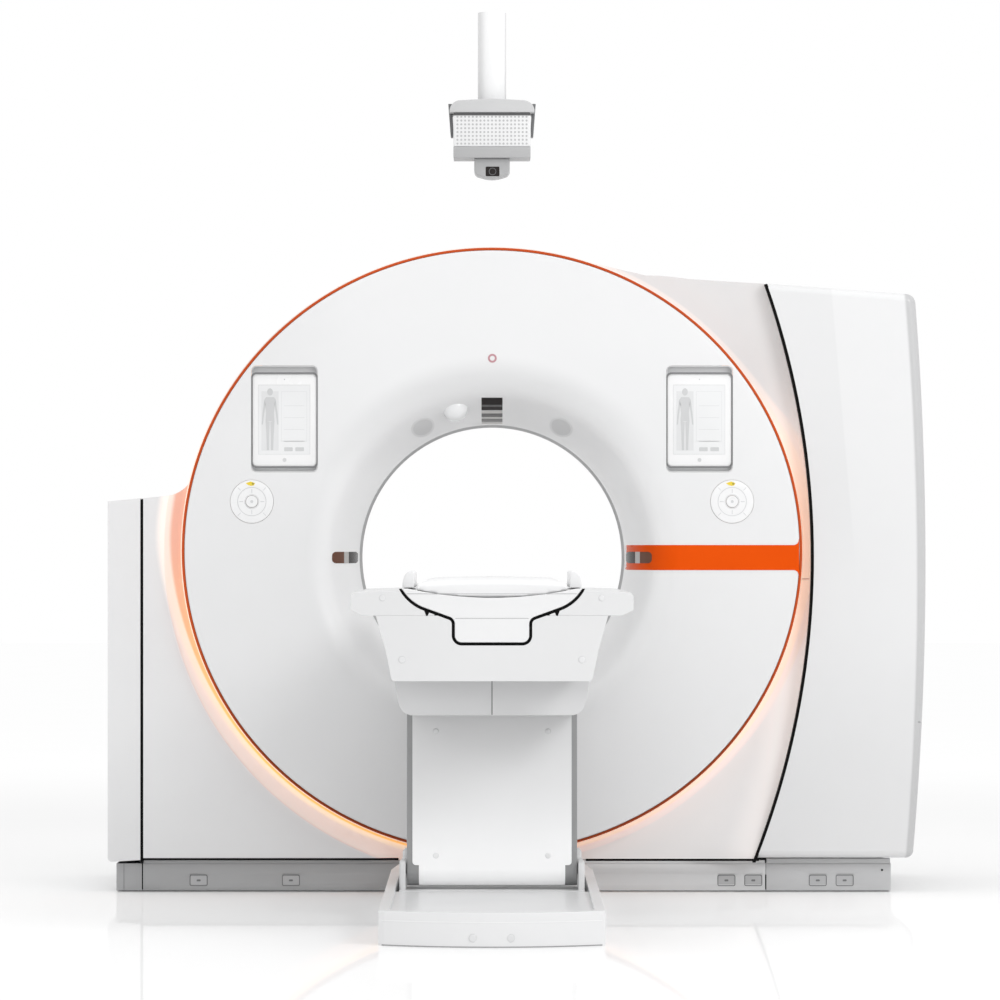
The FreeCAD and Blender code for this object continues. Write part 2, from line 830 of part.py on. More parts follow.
def left_end_outline(inset):
    inner = f"-(left_seam_side + seam_width / 2) - {inset}"
    return [
        (f"-left_side + body_corner_round", f"body_bottom + {inset}"),
        (inner, f"body_bottom + {inset}"),
        (inner, f"{left_top('left_seam_side')} - {inset}"),
        (f"-left_side + {inset}", f"left_top_outer - {inset}"),
        (f"-left_side + {inset}", "body_bottom + body_corner_round"),
        ("-left_side + body_corner_round", f"body_bottom + {inset}", f"(body_corner_round - {inset})"),
    ][1:]


def seam_x(z, offset):
    return (f"(sqrt((right_seam_round + {offset})^2 - (({z}) - bore_height)^2) - right_seam_centre_side)")


def right_front_outline(inset):
    edge = f"-(seam_width / 2) - {inset}"
    low, high = f"(body_bottom + {inset})", f"(tower_top_inner - {inset})"
    return [
        ("seam_gap / 2", low),
        (seam_x(low, edge), low),
        (seam_x(high, edge), high, f"(right_seam_round + {edge})"),
        ("right_saddle_end", f"right_saddle_end_top - {inset}"),
        ("right_saddle_start", f"right_saddle_start_top - {inset}", f"-(right_saddle_round + {inset})"),
        ("right_shoulder_side", f"right_shoulder_top - {inset}"),
        ("right_shoulder_side", "bore_height + bore_radius"),
        ("seam_gap / 2", "bore_height"),
    ]


def tower_outline(inset):
    edge = f"(seam_width / 2) + {inset}"
    low, high = f"(body_bottom + {inset})", f"(tower_top_inner - {inset})"
    return [
        (seam_x(low, edge), low),
        (f"tower_side_bottom - {inset}", low),
        (f"tower_side_top - {inset}", "tower_top_outer - tower_shoulder_round",
         f"(tower_side_round - {inset})"),
        ("tower_side_top - tower_shoulder_round", f"tower_top_outer - {inset}",
         f"(tower_shoulder_round - {inset})"),
        (seam_x(high, edge), high),
        (seam_x(low, edge), low, f"-(right_seam_round + {edge})"),
    ][1:]


def front_edges(reach, low_x, high_x):
    """Picks the edges of a body's front face between two distances from the middle."""
    def wanted(edge):
        box = edge.BoundBox
        at_front = abs(box.YMin + number(reach)) < 0.01 and abs(box.YMax + number(reach)) < 0.01
        return at_front and box.XMin > number(low_x) and box.XMax < number(high_x)
    return wanted


def body_cover(node, outline, reach, recess="0", edges=None, edge_round="body_corner_round"):
    """The block of a body cover, from its front to the rear of the scanner, and the hollow inside it.

    The hollow starts a wall behind the deepest place of the front.
    """
    block = prism(f"{node}_block", "XZ", f"-{reach}", f"{reach} + body_rear_reach", outline("0"))
    if edges:
        block.round(edge_round, edges)
    inside = prism(f"{node}_inside", "XZ", f"-{reach} + ({recess}) + body_wall",
                   f"{reach} - ({recess}) + body_rear_reach - 2 * body_wall", outline("body_wall"))
    return block, inside


# left body
block, inside = body_cover("left_end_cover", left_end_outline, "body_front_reach",
                           edges=front_edges("body_front_reach", "-left_side - 1",
                                             "-left_seam_side - seam_width"))
keep("left_end_cover", cut("left_end_cover", block, inside))
block, inside = body_cover("left_front_cover", left_front_outline, "body_front_reach",
                           "body_front_reach - cove_floor_reach")
left_cove = cove("left_cove", "body_front_reach", "cove_floor_reach", "cove_start_radius", "left_cove_radius",
                 "left_cove_round")
hollow = cut("left_hollow", inside, wall_seat)
shell = cut("left_shell", cut("left_seated", block, drum_seat), hollow)
keep("left_front_cover", cut("left_front_cover", cut("left_coved", shell, left_cove), foot_passage))

# right body and tower
block, inside = body_cover("right_front_cover", right_front_outline, "tower_front_reach",
                           "tower_front_reach - cove_floor_reach")
right_cove = cove("right_cove", "tower_front_reach", "cove_floor_reach", "cove_start_radius",
                  "right_cove_radius",
                  "right_cove_round")
hollow = cut("right_hollow", inside, wall_seat)
shell = cut("right_shell", cut("right_seated", block, drum_seat), hollow)
keep("right_front_cover", cut("right_front_cover", cut("right_coved", shell, right_cove), foot_passage))
tower_edges = front_edges("tower_front_reach", "right_seam_round - right_seam_centre_side + seam_width",
                          "tower_side_bottom + 100")
block, inside = body_cover("tower_cover", tower_outline, "tower_front_reach", edges=tower_edges,
                           edge_round="tower_edge_round")
keep("tower_cover", cut("tower_cover", block, inside))

# seals in the two seams
left_seam = rectangle("-(left_seam_side + seam_width / 2)", "body_bottom",
                      "-(left_seam_side - seam_width / 2)",
                      left_top("left_seam_side") + " - seam_sink")
keep("left_seam", Piece("left_seam").pad("XZ", "-body_front_reach + seam_sink", "seam_depth", [left_seam]))
seal_low, seal_high = "body_bottom", "(tower_top_inner - seam_sink)"
right_seam = [
    (seam_x(seal_low, "-(seam_width / 2)"), seal_low),
    (seam_x(seal_low, "(seam_width / 2)"), seal_low),
    (seam_x(seal_high, "(seam_width / 2)"), seal_high, "(right_seam_round + seam_width / 2)"),
    (seam_x(seal_high, "-(seam_width / 2)"), seal_high),
    (seam_x(seal_low, "-(seam_width / 2)"), seal_low, "-(right_seam_round - seam_width / 2)"),
][1:]
keep("right_seam",
     Piece("right_seam").pad("XZ", "-tower_front_reach + seam_sink", "seam_depth", [right_seam]))

# ---------------------------------------------------------------- plinth and base frame

PLINTH_TOP = "body_bottom - plinth_top_gap"
plinth_height = f"{PLINTH_TOP} - plinth_floor_gap"
plinth_left_x = "-(left_side - plinth_side_inset)"
plinth_right_x = "(tower_side_bottom - plinth_right_inset)"
plinth_front_y = "-(body_front_reach - plinth_inset)"
plinth_rear_y = "(body_rear_reach - plinth_inset)"
plinth_split_left = "-left_seam_side"
plinth_split_right = "(right_seam_round - right_seam_centre_side - plinth_split_offset)"


def plinth_end(node, outer_x, split_x, side):
    """A U of plinth round one end of the base."""
    inner = f"{outer_x} + plinth_wall" if side < 0 else f"{outer_x} - plinth_wall"
    low, high = (outer_x, split_x) if side < 0 else (split_x, outer_x)
    piece = Piece(node).pad("XY", "plinth_floor_gap", plinth_height,
                            [rectangle(low, plinth_front_y, high, plinth_rear_y)])
    if side < 0:
        space = rectangle(inner, f"{plinth_front_y} + plinth_wall", f"{split_x} + 1",
                          f"{plinth_rear_y} - plinth_wall")
    else:
        space = rectangle(f"{split_x} - 1", f"{plinth_front_y} + plinth_wall", inner,
                          f"{plinth_rear_y} - plinth_wall")
    return piece.pocket("XY", "plinth_floor_gap", plinth_height, [space])


def plinth_windows(*places):
    """The outlines of the covered access windows, about their distances from the middle."""
    middle = f"plinth_floor_gap + ({plinth_height}) / 2 - plinth_window_drop"
    return [round_rectangle(x, middle, "plinth_window_width", "plinth_window_height", "plinth_window_corner")
            for x in places]


keep("plinth_left", plinth_end("plinth_left", plinth_left_x, plinth_split_left, -1))
right_end = plinth_end("plinth_right", plinth_right_x, f"{plinth_split_right} + seam_gap", 1)
keep("plinth_right", right_end.pocket("XZ", plinth_front_y, "plinth_window_depth",
     plinth_windows(f"({plinth_split_right} + window_step_inner + window_step_pair / 2)",
                    f"({plinth_split_right} + window_step_inner + 3 * window_step_pair / 2 + seam_gap)")))
front_strip = rectangle(f"{plinth_split_left} + seam_gap", "plinth_floor_gap", plinth_split_right, PLINTH_TOP)
front_plinth = Piece("plinth_front").pad("XZ", plinth_front_y, "plinth_wall", [front_strip])
keep("plinth_front", front_plinth.pocket("XZ", plinth_front_y, "plinth_window_depth", plinth_windows(
    "-window_far_left", "-window_near_left", "window_near_right", "(window_near_right + window_step_pair)")))
keep("plinth_rear",
     Piece("plinth_rear").pad("XZ", f"{plinth_rear_y} - plinth_wall", "plinth_wall", [front_strip]))

base = Piece("gantry_base_frame").pad("XY", 0, "base_height", [rectangle(
    "-base_half_width", "-base_half_depth", "base_half_width", "base_half_depth")])
for low_x, high_x in (("-base_half_width + base_beam_width", "-stator_foot_half_width - base_beam_width"),
                      ("-stator_foot_half_width", "stator_foot_half_width"),
                      ("stator_foot_half_width + base_beam_width", "base_half_width - base_beam_width")):
    base.pocket("XY", "base_flange", "base_height", [rectangle(
        low_x, "-base_half_depth + base_beam_width", high_x, "stator_start - base_flange")])
    base.pocket("XY", "0", "base_height", [rectangle(
        f"{low_x} + base_beam_width / 2", "-base_half_depth + 3 * base_beam_width / 2",
        f"{high_x} - base_beam_width / 2", "stator_start - base_beam_width / 2")])
anchors = [(f"{x}", f"{y}", "anchor_hole_radius") for x in ("-anchor_half_spacing_x", "anchor_half_spacing_x")
           for y in ("-anchor_half_spacing_y", "anchor_half_spacing_y")]
base.pocket("XY", 0, "base_height", circles=anchors)
posts = [rectangle(f"{x} - base_post_half", f"{y} - base_post_half", f"{x} + base_post_half",
                   f"{y} + base_post_half")
         for x in ("-(base_half_width - base_beam_width - base_post_half)",
                   "(base_half_width - base_beam_width - base_post_half)")
         for y in ("-anchor_half_spacing_y", "anchor_half_spacing_y")]
base.pad("XY", "base_height", "body_bottom - base_height", posts)
post_x = "(base_half_width - base_beam_width - base_post_half)"
bars = [rectangle(f"{x} - base_post_half", f"{plinth_front_y} + plinth_wall", f"{x} + base_post_half",
                  f"{plinth_rear_y} - plinth_wall") for x in (f"-{post_x}", post_x)]
base.pad("XY", "plinth_bar_bottom", "plinth_bar_height", bars)
base.pad("XY", "plinth_bar_bottom", "plinth_bar_height", [rectangle(
    f"{plinth_left_x} + plinth_wall", "-base_post_half", f"{plinth_right_x} - plinth_wall",
    "base_post_half")])
keep("gantry_base_frame", base)

# ---------------------------------------------------------------- stationary ring and its bearing

AXIS = (0, "bore_height")
stator = Piece("stator_frame").pad("XZ", "stator_start", "stator_thickness",
                                   circles=[(0, 0, "stator_outer_radius"), (0, 0, "stator_inner_radius")],
                                   centre=AXIS)
stator.pad("XZ", "stator_start", "stator_thickness", [rectangle(
    "-stator_foot_half_width", "base_height", "stator_foot_half_width",
    "bore_height - (stator_outer_radius + stator_inner_radius) / 2")])
stator_hole_angles = [f"stator_hole_start + {i} * stator_hole_pitch"
                      for i in range(int(SIZES["stator_hole_count"]))]
stator_holes = [(f"stator_hole_circle * cos({a})", f"stator_hole_circle * sin({a})", "stator_hole_radius")
                for a in stator_hole_angles]
stator.pocket("XZ", "stator_start", "stator_thickness", circles=stator_holes, centre=AXIS)
keep("stator_frame", stator)

race_start = "stator_start - race_width"
keep("bearing_outer_race", Piece("bearing_outer_race").pad("XZ", race_start, "race_width", circles=[
    (0, 0, "race_outer_radius"), (0, 0, "race_roller_radius + roller_radius + running_gap")], centre=AXIS))
keep("bearing_inner_race", Piece("bearing_inner_race").pad("XZ", race_start, "race_width", circles=[
    (0, 0, "race_roller_radius - roller_radius - running_gap"), (0, 0, "race_inner_radius")], centre=AXIS))
roller_start = f"{race_start} + (race_width - roller_length) / 2"
cage = Piece("bearing_rollers").pad("XZ", f"{roller_start} + roller_length / 4", "roller_length / 2",
                                    circles=[
    (0, 0, "race_roller_radius + cage_half_width"), (0, 0, "race_roller_radius - cage_half_width")],
    centre=AXIS)
roller_count = int(SIZES["roller_count"])
cage.pad("XZ", roller_start, "roller_length", centre=AXIS, circles=[
    (f"race_roller_radius * cos({i} * 360 / roller_count)",
     f"race_roller_radius * sin({i} * 360 / roller_count)",
     "roller_radius") for i in range(roller_count)])
keep("bearing_rollers", cage)

coil_start = "stator_start + stator_thickness"
keep("motor_coil_ring", Piece("motor_coil_ring").pad("XZ", coil_start, "coil_depth", circles=[
    (0, 0, "coil_outer_radius"), (0, 0, "magnet_outer_radius + air_gap")], centre=AXIS))
keep("motor_magnet_ring", Piece("motor_magnet_ring").pad("XZ", coil_start, "coil_depth", circles=[
    (0, 0, "magnet_outer_radius"), (0, 0, "race_inner_radius")], centre=AXIS))
brush_front = "slip_ring_start + slip_ring_thickness + brush_gap"
brush_low = "bore_height + coil_outer_radius + brush_lift"
brush = Piece("brush_block").pad("YZ", "-brush_half_width", "2 * brush_half_width", [[
    (coil_start, brush_low),
    (brush_front, brush_low),
    (brush_front, "bore_height + slip_ring_outer_radius - brush_length"),
    (f"{brush_front} + brush_depth", "bore_height + slip_ring_outer_radius - brush_length"),
    (f"{brush_front} + brush_depth", f"{brush_low} + brush_arm"),
    (coil_start, f"{brush_low} + brush_arm"),
]])
keep("brush_block", brush)

# ---------------------------------------------------------------- rotating ring and what it carries

plate_back = "rotor_plate_start + rotor_plate_thickness"
rotor = Piece("rotor_drum").turn([[
    ("rotor_plate_start", "rotor_bore_radius"),
    (plate_back, "rotor_bore_radius"),
    (plate_back, "race_inner_radius - hub_wall"),
    ("slip_ring_start", "race_inner_radius - hub_wall"),
    ("slip_ring_start", "race_inner_radius"),
    (plate_back, "race_inner_radius"),
    (plate_back, "rotor_outer_radius"),
    (f"{plate_back} - rotor_rim_depth", "rotor_outer_radius"),
    (f"{plate_back} - rotor_rim_depth", "rotor_outer_radius - rotor_rim_wall"),
    ("rotor_plate_start", "rotor_outer_radius - rotor_rim_wall"),
]])
keep("rotor_drum", rotor)
keep("slip_ring", Piece("slip_ring").pad("XZ", "slip_ring_start", "slip_ring_thickness", circles=[
    (0, 0, "slip_ring_outer_radius"), (0, 0, "race_inner_radius - hub_wall")], centre=AXIS))
tube = Piece("x_ray_tube").pad("XZ", "rotor_plate_start - tube_body_length", "tube_body_length",
                               circles=[(0, "tube_centre_radius", "tube_body_radius")], centre=AXIS)
tube.pad("XZ", "rotor_plate_start - collimator_depth", "collimator_depth", [rectangle(
    "-collimator_half_width", "tube_window_radius", "collimator_half_width",
    "tube_centre_radius - tube_body_radius / 2")], centre=AXIS)
tube.pocket("XZ", "rotor_plate_start - collimator_depth + collimator_wall",
            "collimator_depth - 2 * collimator_wall",
            [rectangle("-collimator_half_width + collimator_wall", "tube_window_radius",
                       "collimator_half_width - collimator_wall",
                       "tube_centre_radius - tube_body_radius - collimator_wall")],
            centre=AXIS)
keep("x_ray_tube", tube)
detector_front = "rotor_plate_start - detector_depth"
detector = Piece("detector_arc").turn([[
    (detector_front, "-detector_inner_radius"),
    ("rotor_plate_start", "-detector_inner_radius"),
    ("rotor_plate_start", "-(detector_inner_radius + detector_thickness)"),
    (detector_front, "-(detector_inner_radius + detector_thickness)"),
]], angle="detector_angle")
keep("detector_arc", detector)
generator_front = "rotor_plate_start - generator_depth"
for node, side in (("generator", -1), ("tube_cooler", 1)):
    near, far = ("-generator_near", "-generator_near - generator_height")
    low, high = (far, near) if side < 0 else ("generator_near", "generator_near + generator_height")
    box = Piece(node).pad("XZ", generator_front, "generator_depth",
                          [rectangle(low, "-generator_width / 2", high, "generator_width / 2")], centre=AXIS)
    if side > 0:
        slots = [rectangle(f"{low} + cooler_slot",
                           f"-generator_width / 2 + {i} * generator_width / cooler_fins"
                           " + cooler_slot", f"{high} - cooler_slot",
                           f"-generator_width / 2 + {i} * generator_width / cooler_fins + 2 * cooler_slot")
                 for i in range(int(SIZES["cooler_fins"]))]
        box.pocket("XZ", generator_front, "generator_depth / 2", slots, centre=AXIS)
    keep(node, box)
keep("balance_weight", Piece("balance_weight").turn([[
    (f"{plate_back} - rotor_rim_depth", "-(rotor_outer_radius - rotor_rim_wall - balance_thickness)"),
    ("rotor_plate_start", "-(rotor_outer_radius - rotor_rim_wall - balance_thickness)"),
    ("rotor_plate_start", "-(rotor_outer_radius - rotor_rim_wall)"),
    (f"{plate_back} - rotor_rim_depth", "-(rotor_outer_radius - rotor_rim_wall)"),
]], angle="balance_angle"))

# ---------------------------------------------------------------- fittings of the round face

for side, sign in (("left", "-"), ("right", "")):
    dock_x, dial_x = f"{sign}dock_side", f"{sign}dial_side"
    dock = Piece(f"{side}_dock").pad("XZ", "-front_reach", "dock_depth", [round_rectangle(
        dock_x, "dock_height", "(dock_width - seam_gap)", "(dock_length - seam_gap)", "dock_corner")])
    dock.pocket("XZ", "-front_reach", "dock_depth - dock_wall", [round_rectangle(
        dock_x, "dock_height", "(dock_width - seam_gap - 2 * dock_wall)",
        "(dock_length - seam_gap - 2 * dock_wall)",
        "(dock_corner - dock_wall)")])
    dock.pad("XZ", "-front_reach + tablet_sink + tablet_depth",
             "dock_depth - dock_wall - tablet_sink - tablet_depth", [
        round_rectangle(dock_x, "dock_height - tablet_drop", "(tablet_width / 2)", "(tablet_length / 2)",
                        "tablet_corner")])
    keep(f"{side}_dock", dock)
    keep(f"{side}_tablet", Piece(f"{side}_tablet").pad("XZ", "-front_reach + tablet_sink", "tablet_depth", [
        round_rectangle(dock_x, "dock_height - tablet_drop", "tablet_width", "tablet_length",
                        "tablet_corner")])
        .round("tablet_edge_round", lambda e: e.BoundBox.YLength < 0.01
               and abs(e.BoundBox.YMin + number("front_reach - tablet_sink")) < 0.01))
    front = "-front_reach - dial_proud"
    dial = Piece(f"{side}_dial").pad("XZ", front, "dial_depth + dial_proud", circles=[
        (dial_x, "dial_height", "dial_radius - seam_gap")])
    dial.pocket("XZ", front, "dial_depth + dial_proud - dock_wall", circles=[
        (dial_x, "dial_height", "button_radius + button_gap")])
    dial.pocket("XZ", front, "dial_proud", circles=[
        (dial_x, "dial_height", "dial_groove_radius"),
        (dial_x, "dial_height", "dial_groove_radius - dial_groove_width")])
    keep(f"{side}_dial", dial)
    button = Piece(f"{side}_button").pad("XZ", f"{front} - button_proud", "button_proud + button_length",
                                         circles=[
        (dial_x, "dial_height", "button_radius")])
    keep(f"{side}_button", button.round("button_edge_round", lambda e: abs(
        e.BoundBox.YMax - number(f"{front} - button_proud")) < 0.01))

dome_r = "sqrt(dome_side^2 + dome_rise^2)"
dome_fall = f"(bore_radius + flare_throat_round - {dome_r})"
dome_y = f"(-front_reach + flare_depth - sqrt(flare_throat_round^2 - {dome_fall}^2))"
ball = doc.addObject("Part::Sphere", "dome_ball")
bind(ball, Radius="dome_radius", Placement__Base__x=f"-dome_side * (1 + dome_sink / {dome_r})",
     Placement__Base__y=dome_y, Placement__Base__z=f"bore_height + dome_rise * (1 + dome_sink / {dome_r})")
dome_limit = Piece("dome_limit").turn([flare_profile(-1, "cover_wall", "front_reach")])
keep("sensor_dome", common("sensor_dome", ball, dome_limit))


def tilted_oval(name, x, z, half_length, half_width, turn):
    """An oval prism along Y, its long axis turned from level."""
    ellipse = doc.addObject("Part::Ellipse", f"{name}_line")
    bind(ellipse, MajorRadius=half_length, MinorRadius=half_width)
    level = Rotation(Vector(1, 0, 0), 90)
    ellipse.Placement = FreeCAD.Placement(Vector(), Rotation(Vector(0, 1, 0), turn) * level)
    bind(ellipse, Placement__Base__x=x, Placement__Base__y="-front_reach", Placement__Base__z=z)
    block = doc.addObject("Part::Extrusion", name)
    block.Base = ellipse
    block.DirMode = "Custom"
    block.Dir = Vector(0, 1, 0)
    block.Solid = True
    bind(block, LengthFwd="flare_depth")
    return block


ovals, holes = [], []
for side, sign, turn in (("left", "-", -SIZES["grille_turn"]), ("right", "", SIZES["grille_turn"])):
    spot = (f"{sign}grille_side", "bore_height + grille_rise")
    holes.append(tilted_oval(f"{side}_grille_hole", *spot, "grille_length / 2", "grille_width / 2", turn))
    ovals.append(tilted_oval(f"{side}_grille_oval", *spot, "grille_length / 2 - seam_gap",
                             "grille_width / 2 - seam_gap", turn))
keep("speaker_grilles", common("speaker_grilles", skin, fuse("grille_ovals", *ovals)))
keep("front_cover",
     cut("front_cover", front_face, fuse("front_cutters", fitting_cutter, window_cutter, ball, *holes)))

# ---------------------------------------------------------------- table foot and the base of its legs

foot_corner_y = "-(foot_front - foot_bow_round + sqrt(foot_bow_round^2 - foot_half_width^2))"
foot = Piece("table_foot").pad("XY", 0, "foot_height", [[
    ("-foot_half_width", foot_corner_y),
    ("foot_half_width", foot_corner_y, "foot_bow_round"),
    ("foot_half_width", "-foot_taper_start"),
    ("foot_back_half_width", "-foot_back"),
    ("-foot_back_half_width", "-foot_back"),
    ("-foot_half_width", "-foot_taper_start"),
]])
foot.round("foot_corner", lambda e: runs_along(e, "Z")
           and abs(e.BoundBox.YMin - number(foot_corner_y)) < 0.01)
foot.round("foot_edge_round", lambda e: e.BoundBox.ZMin > number("foot_height") - 0.01
           and e.BoundBox.YMin < number("-foot_back") - 1)
foot.pocket("XY", "foot_height - deck_drop", "foot_height", [round_rectangle(
    "0", "(-(well_front + well_back) / 2)", "(2 * well_half_width)", "(well_front - well_back)",
    "deck_corner")])
foot.pocket("XY", "well_floor", "foot_height", [rectangle(
    "-well_half_width", "-(front_leg_side + base_block_overhang + well_gap)", "well_half_width",
    "-(rear_leg_side - base_block_overhang - well_gap)")])
foot.pocket("XY", 0, "foot_height", circles=[
    (f"{x}foot_screw_half_spacing_x", f"-{y}", "foot_screw_radius")
    for x in ("-", "") for y in ("foot_screw_front", "foot_screw_back")])
keep("table_foot", foot)

LEGS = {"front": "-front_leg_side", "rear": "-rear_leg_side"}
block_front = "-(front_leg_side + base_block_overhang)"
block_back = "-(rear_leg_side - base_block_overhang)"
leg_base = Piece("leg_base").pad("XY", "well_floor", "base_block_height", [rectangle(
    "-base_block_half_width", block_front, "base_block_half_width", block_back)])
guard_top = "(well_floor + base_block_height + guard_height)"
guard_start = "(leg_half_width + guard_gap)"
for low_x, tooth_x in ((guard_start, f"{guard_start} + guard_thickness"),
                       (f"-{guard_start} - guard_thickness",
                        f"-{guard_start} - guard_thickness - guard_tooth")):
    cheeks = [[
        (f"{y} - guard_half_length", "well_floor + base_block_height / 2"),
        (f"{y} + guard_half_length", "well_floor + base_block_height / 2"),
        (f"{y} + guard_half_length", f"{guard_top} - guard_round"),
        (f"{y} + guard_half_length - guard_round", guard_top, "guard_round"),
        (f"{y} - guard_half_length + guard_round", guard_top),
        (f"{y} - guard_half_length", f"{guard_top} - guard_round", "guard_round"),
    ] for y in LEGS.values()]
    leg_base.pad("YZ", low_x, "guard_thickness", cheeks)
    teeth = [rectangle(f"{y} - guard_half_length + guard_round + {i} * guard_pitch",
                       "well_floor + base_block_height / 2",
                       f"{y} - guard_half_length + guard_round + {i} * guard_pitch + guard_pitch / 2",
                       f"{guard_top} - guard_tooth") for y in LEGS.values()
                       for i in range(int(SIZES["guard_teeth"]))]
    leg_base.pad("YZ", tooth_x, "guard_tooth", teeth)
leg_base.pad("YZ", f"-{guard_start} - guard_thickness", f"2 * ({guard_start} + guard_thickness)",
             circles=[(y, "leg_pivot_height", "pivot_shaft_radius") for y in LEGS.values()])
keep("leg_base", leg_base)

# ---------------------------------------------------------------- the two swinging legs


def leg_outline(y, low, high, half):
    """A bar with half round ends round two pivots, as seen from the side."""
    return [
        (y, f"{low} - {half}", half),
        (f"{y} + {half}", low, half),
        (f"{y} + {half}", high),
        (y, f"{high} + {half}", half),
        (f"{y} - {half}", high, half),
        (f"{y} - {half}", low),
    ]


for name, y in LEGS.items():
    leg = Piece(f"{name}_leg").pad("YZ", "-leg_half_width", "2 * leg_half_width", [
        leg_outline(y, "leg_pivot_height", "leg_top_height", "leg_half_depth")])
    leg.pocket("YZ", "-leg_half_width", "2 * leg_half_width", circles=[
        (y, z, "pivot_shaft_radius + pivot_clearance") for z in ("leg_pivot_height", "leg_top_height")])
    leg.pocket("XZ", f"{y} - leg_half_depth", "2 * leg_half_depth", [round_rectangle(
        "0", "(leg_pivot_height + leg_length / 2)", "(2 * (leg_half_width - leg_window_inset))",
        "(leg_length - 2 * leg_window_end)", "leg_window_corner")])
    leg.round("leg_edge_round", lambda e: not runs_along(e, "X") and e.BoundBox.XLength < 0.01
              and abs(abs(e.BoundBox.XMin) - number("leg_half_width")) < 0.01
              and e.Length > number("2 * leg_half_depth"))
    keep(f"{name}_leg", leg)

cover_y = "-front_leg_side - leg_half_depth"
leg_cover = Piece("front_leg_cover").pad("XZ", f"{cover_y} - leg_cover_wall", "leg_cover_wall",
                                         [round_rectangle(
    "0", "(leg_pivot_height + (leg_cover_low + leg_cover_high) / 2)", "(2 * leg_cover_half_width)",
    "(leg_cover_high - leg_cover_low)", "leg_cover_corner")])
tab_cos, tab_sin = "cos(leg_cover_tab_angle)", "sin(leg_cover_tab_angle)"
leg_cover.pad("YZ", "-leg_cover_half_width + leg_cover_tab_inset",
              "2 * (leg_cover_half_width - leg_cover_tab_inset)", [[
    (f"{cover_y} - leg_cover_wall", "leg_pivot_height"),
    (f"-front_leg_side - (leg_half_depth + leg_cover_wall) * {tab_cos}",
     f"leg_pivot_height - (leg_half_depth + leg_cover_wall) * {tab_sin}",
     "(leg_half_depth + leg_cover_wall)"),
    (f"-front_leg_side - leg_half_depth * {tab_cos}", f"leg_pivot_height - leg_half_depth * {tab_sin}"),
    (cover_y, "leg_pivot_height", "-leg_half_depth"),
    (cover_y, "leg_pivot_height + leg_cover_low + leg_cover_corner"),
    (f"{cover_y} - leg_cover_wall", "leg_pivot_height + leg_cover_low + leg_cover_corner"),
]])
keep("front_leg_cover", leg_cover)

# ---------------------------------------------------------------- the part of the table that rises and falls


def half_profile(gap):
    """The right half of the tabletop's outline, from its keel up to the wing's join, set out by gap."""
    return [
        ("keel_half_width - keel_round", f"keel_bottom - {gap}"),
        (f"keel_half_width + {gap}", "keel_bottom + keel_round", f"(keel_round + {gap})"),
        (f"keel_half_width + {gap}", "keel_neck"),
        (f"keel_half_width + keel_neck_round - (keel_neck_round - {gap}) * sin(wing_slope)",
         f"keel_neck + (keel_neck_round - {gap}) * cos(wing_slope)", f"-(keel_neck_round - {gap})"),
        (f"wing_join_x + {gap} * sin(wing_slope)", f"wing_join_z - {gap} * cos(wing_slope)"),
    ]


wing_edge = "wing_centre_x + sqrt((wing_round + {gap})^2 - (wing_top - wing_centre_z)^2)"
tabletop_half = half_profile("0") + [("wing_half_width", "wing_top", "wing_round"),
                                     ("cradle_half_width", "wing_top")]
tabletop_left = mirrored(tabletop_half)
tabletop_outline = tabletop_half + [(*tabletop_left[0], "-cradle_round")] + tabletop_left[1:]
channel_half = half_profile("channel_gap") + [
    (wing_edge.format(gap="channel_gap"), "wing_top", "(wing_round + channel_gap)"),
    (wing_edge.format(gap="channel_gap"), "wing_top + channel_headroom")]
channel = prism("channel", "XZ", "-housing_front - 1", "housing_front", channel_half + mirrored(channel_half))
channel_copy = prism("shelf_channel", "XZ", "-housing_front - 1", "housing_front",
                     channel_half + mirrored(channel_half))

housing_half = [
    ("housing_bottom_half_width", "housing_bottom"),
    ("housing_waist_half_width", "housing_waist_height"),
    ("housing_top_half_width", "housing_top"),
]
housing_length = "housing_front - housing_back"
housing = Piece("housing_block").pad("XZ", "-housing_front", housing_length,
                                     [housing_half + mirrored(housing_half)])
housing.round("housing_edge_round", lambda e: runs_along(e, "Y")
              and e.BoundBox.ZMax < number("housing_bottom") + 0.01)
leg_bay = prism("leg_bay", "XY", "housing_bottom - 1", "chassis_deck_top - housing_bottom + 1", rectangle(
    "-leg_bay_half_width", "-leg_bay_front", "leg_bay_half_width", "-housing_back + 1"))
keep("table_housing", cut("table_housing", housing, fuse("housing_cutters", channel, leg_bay)))

shelf_length = "housing_front - shelf_back"
for side, low_x in (("left", "-"), ("right", "")):
    outline = [
        ("keel_half_width + channel_gap", "housing_top"),
        ("shelf_half_width - shelf_foot_inset", "housing_top"),
        ("shelf_half_width", "housing_top + shelf_foot_rise"),
        ("shelf_half_width", "shelf_top"),
        ("keel_half_width + channel_gap", "shelf_inner_top"),
    ]
    shelf = Piece(f"{side}_shelf_block").pad("XZ", "-housing_front", shelf_length,
                                             [outline if side == "right" else mirrored(outline)])
    shelf.round("shelf_edge_round", lambda e: runs_along(e, "Y")
                and e.BoundBox.ZMin > number("shelf_top") - 0.01
                and abs(abs(e.BoundBox.XMin) - number("shelf_half_width")) < 0.01)
    limit = prism(f"{side}_shelf_limit", "XZ", "-housing_front", shelf_length, rectangle(
        f"{low_x}shelf_start" if side == "right" else "-shelf_half_width - 1", "housing_top",
        "shelf_half_width + 1" if side == "right" else "-shelf_start", "shelf_inner_top"))
    keep(f"{side}_shelf", cut(f"{side}_shelf", common(f"{side}_shelf_whole", shelf, limit), channel_copy))

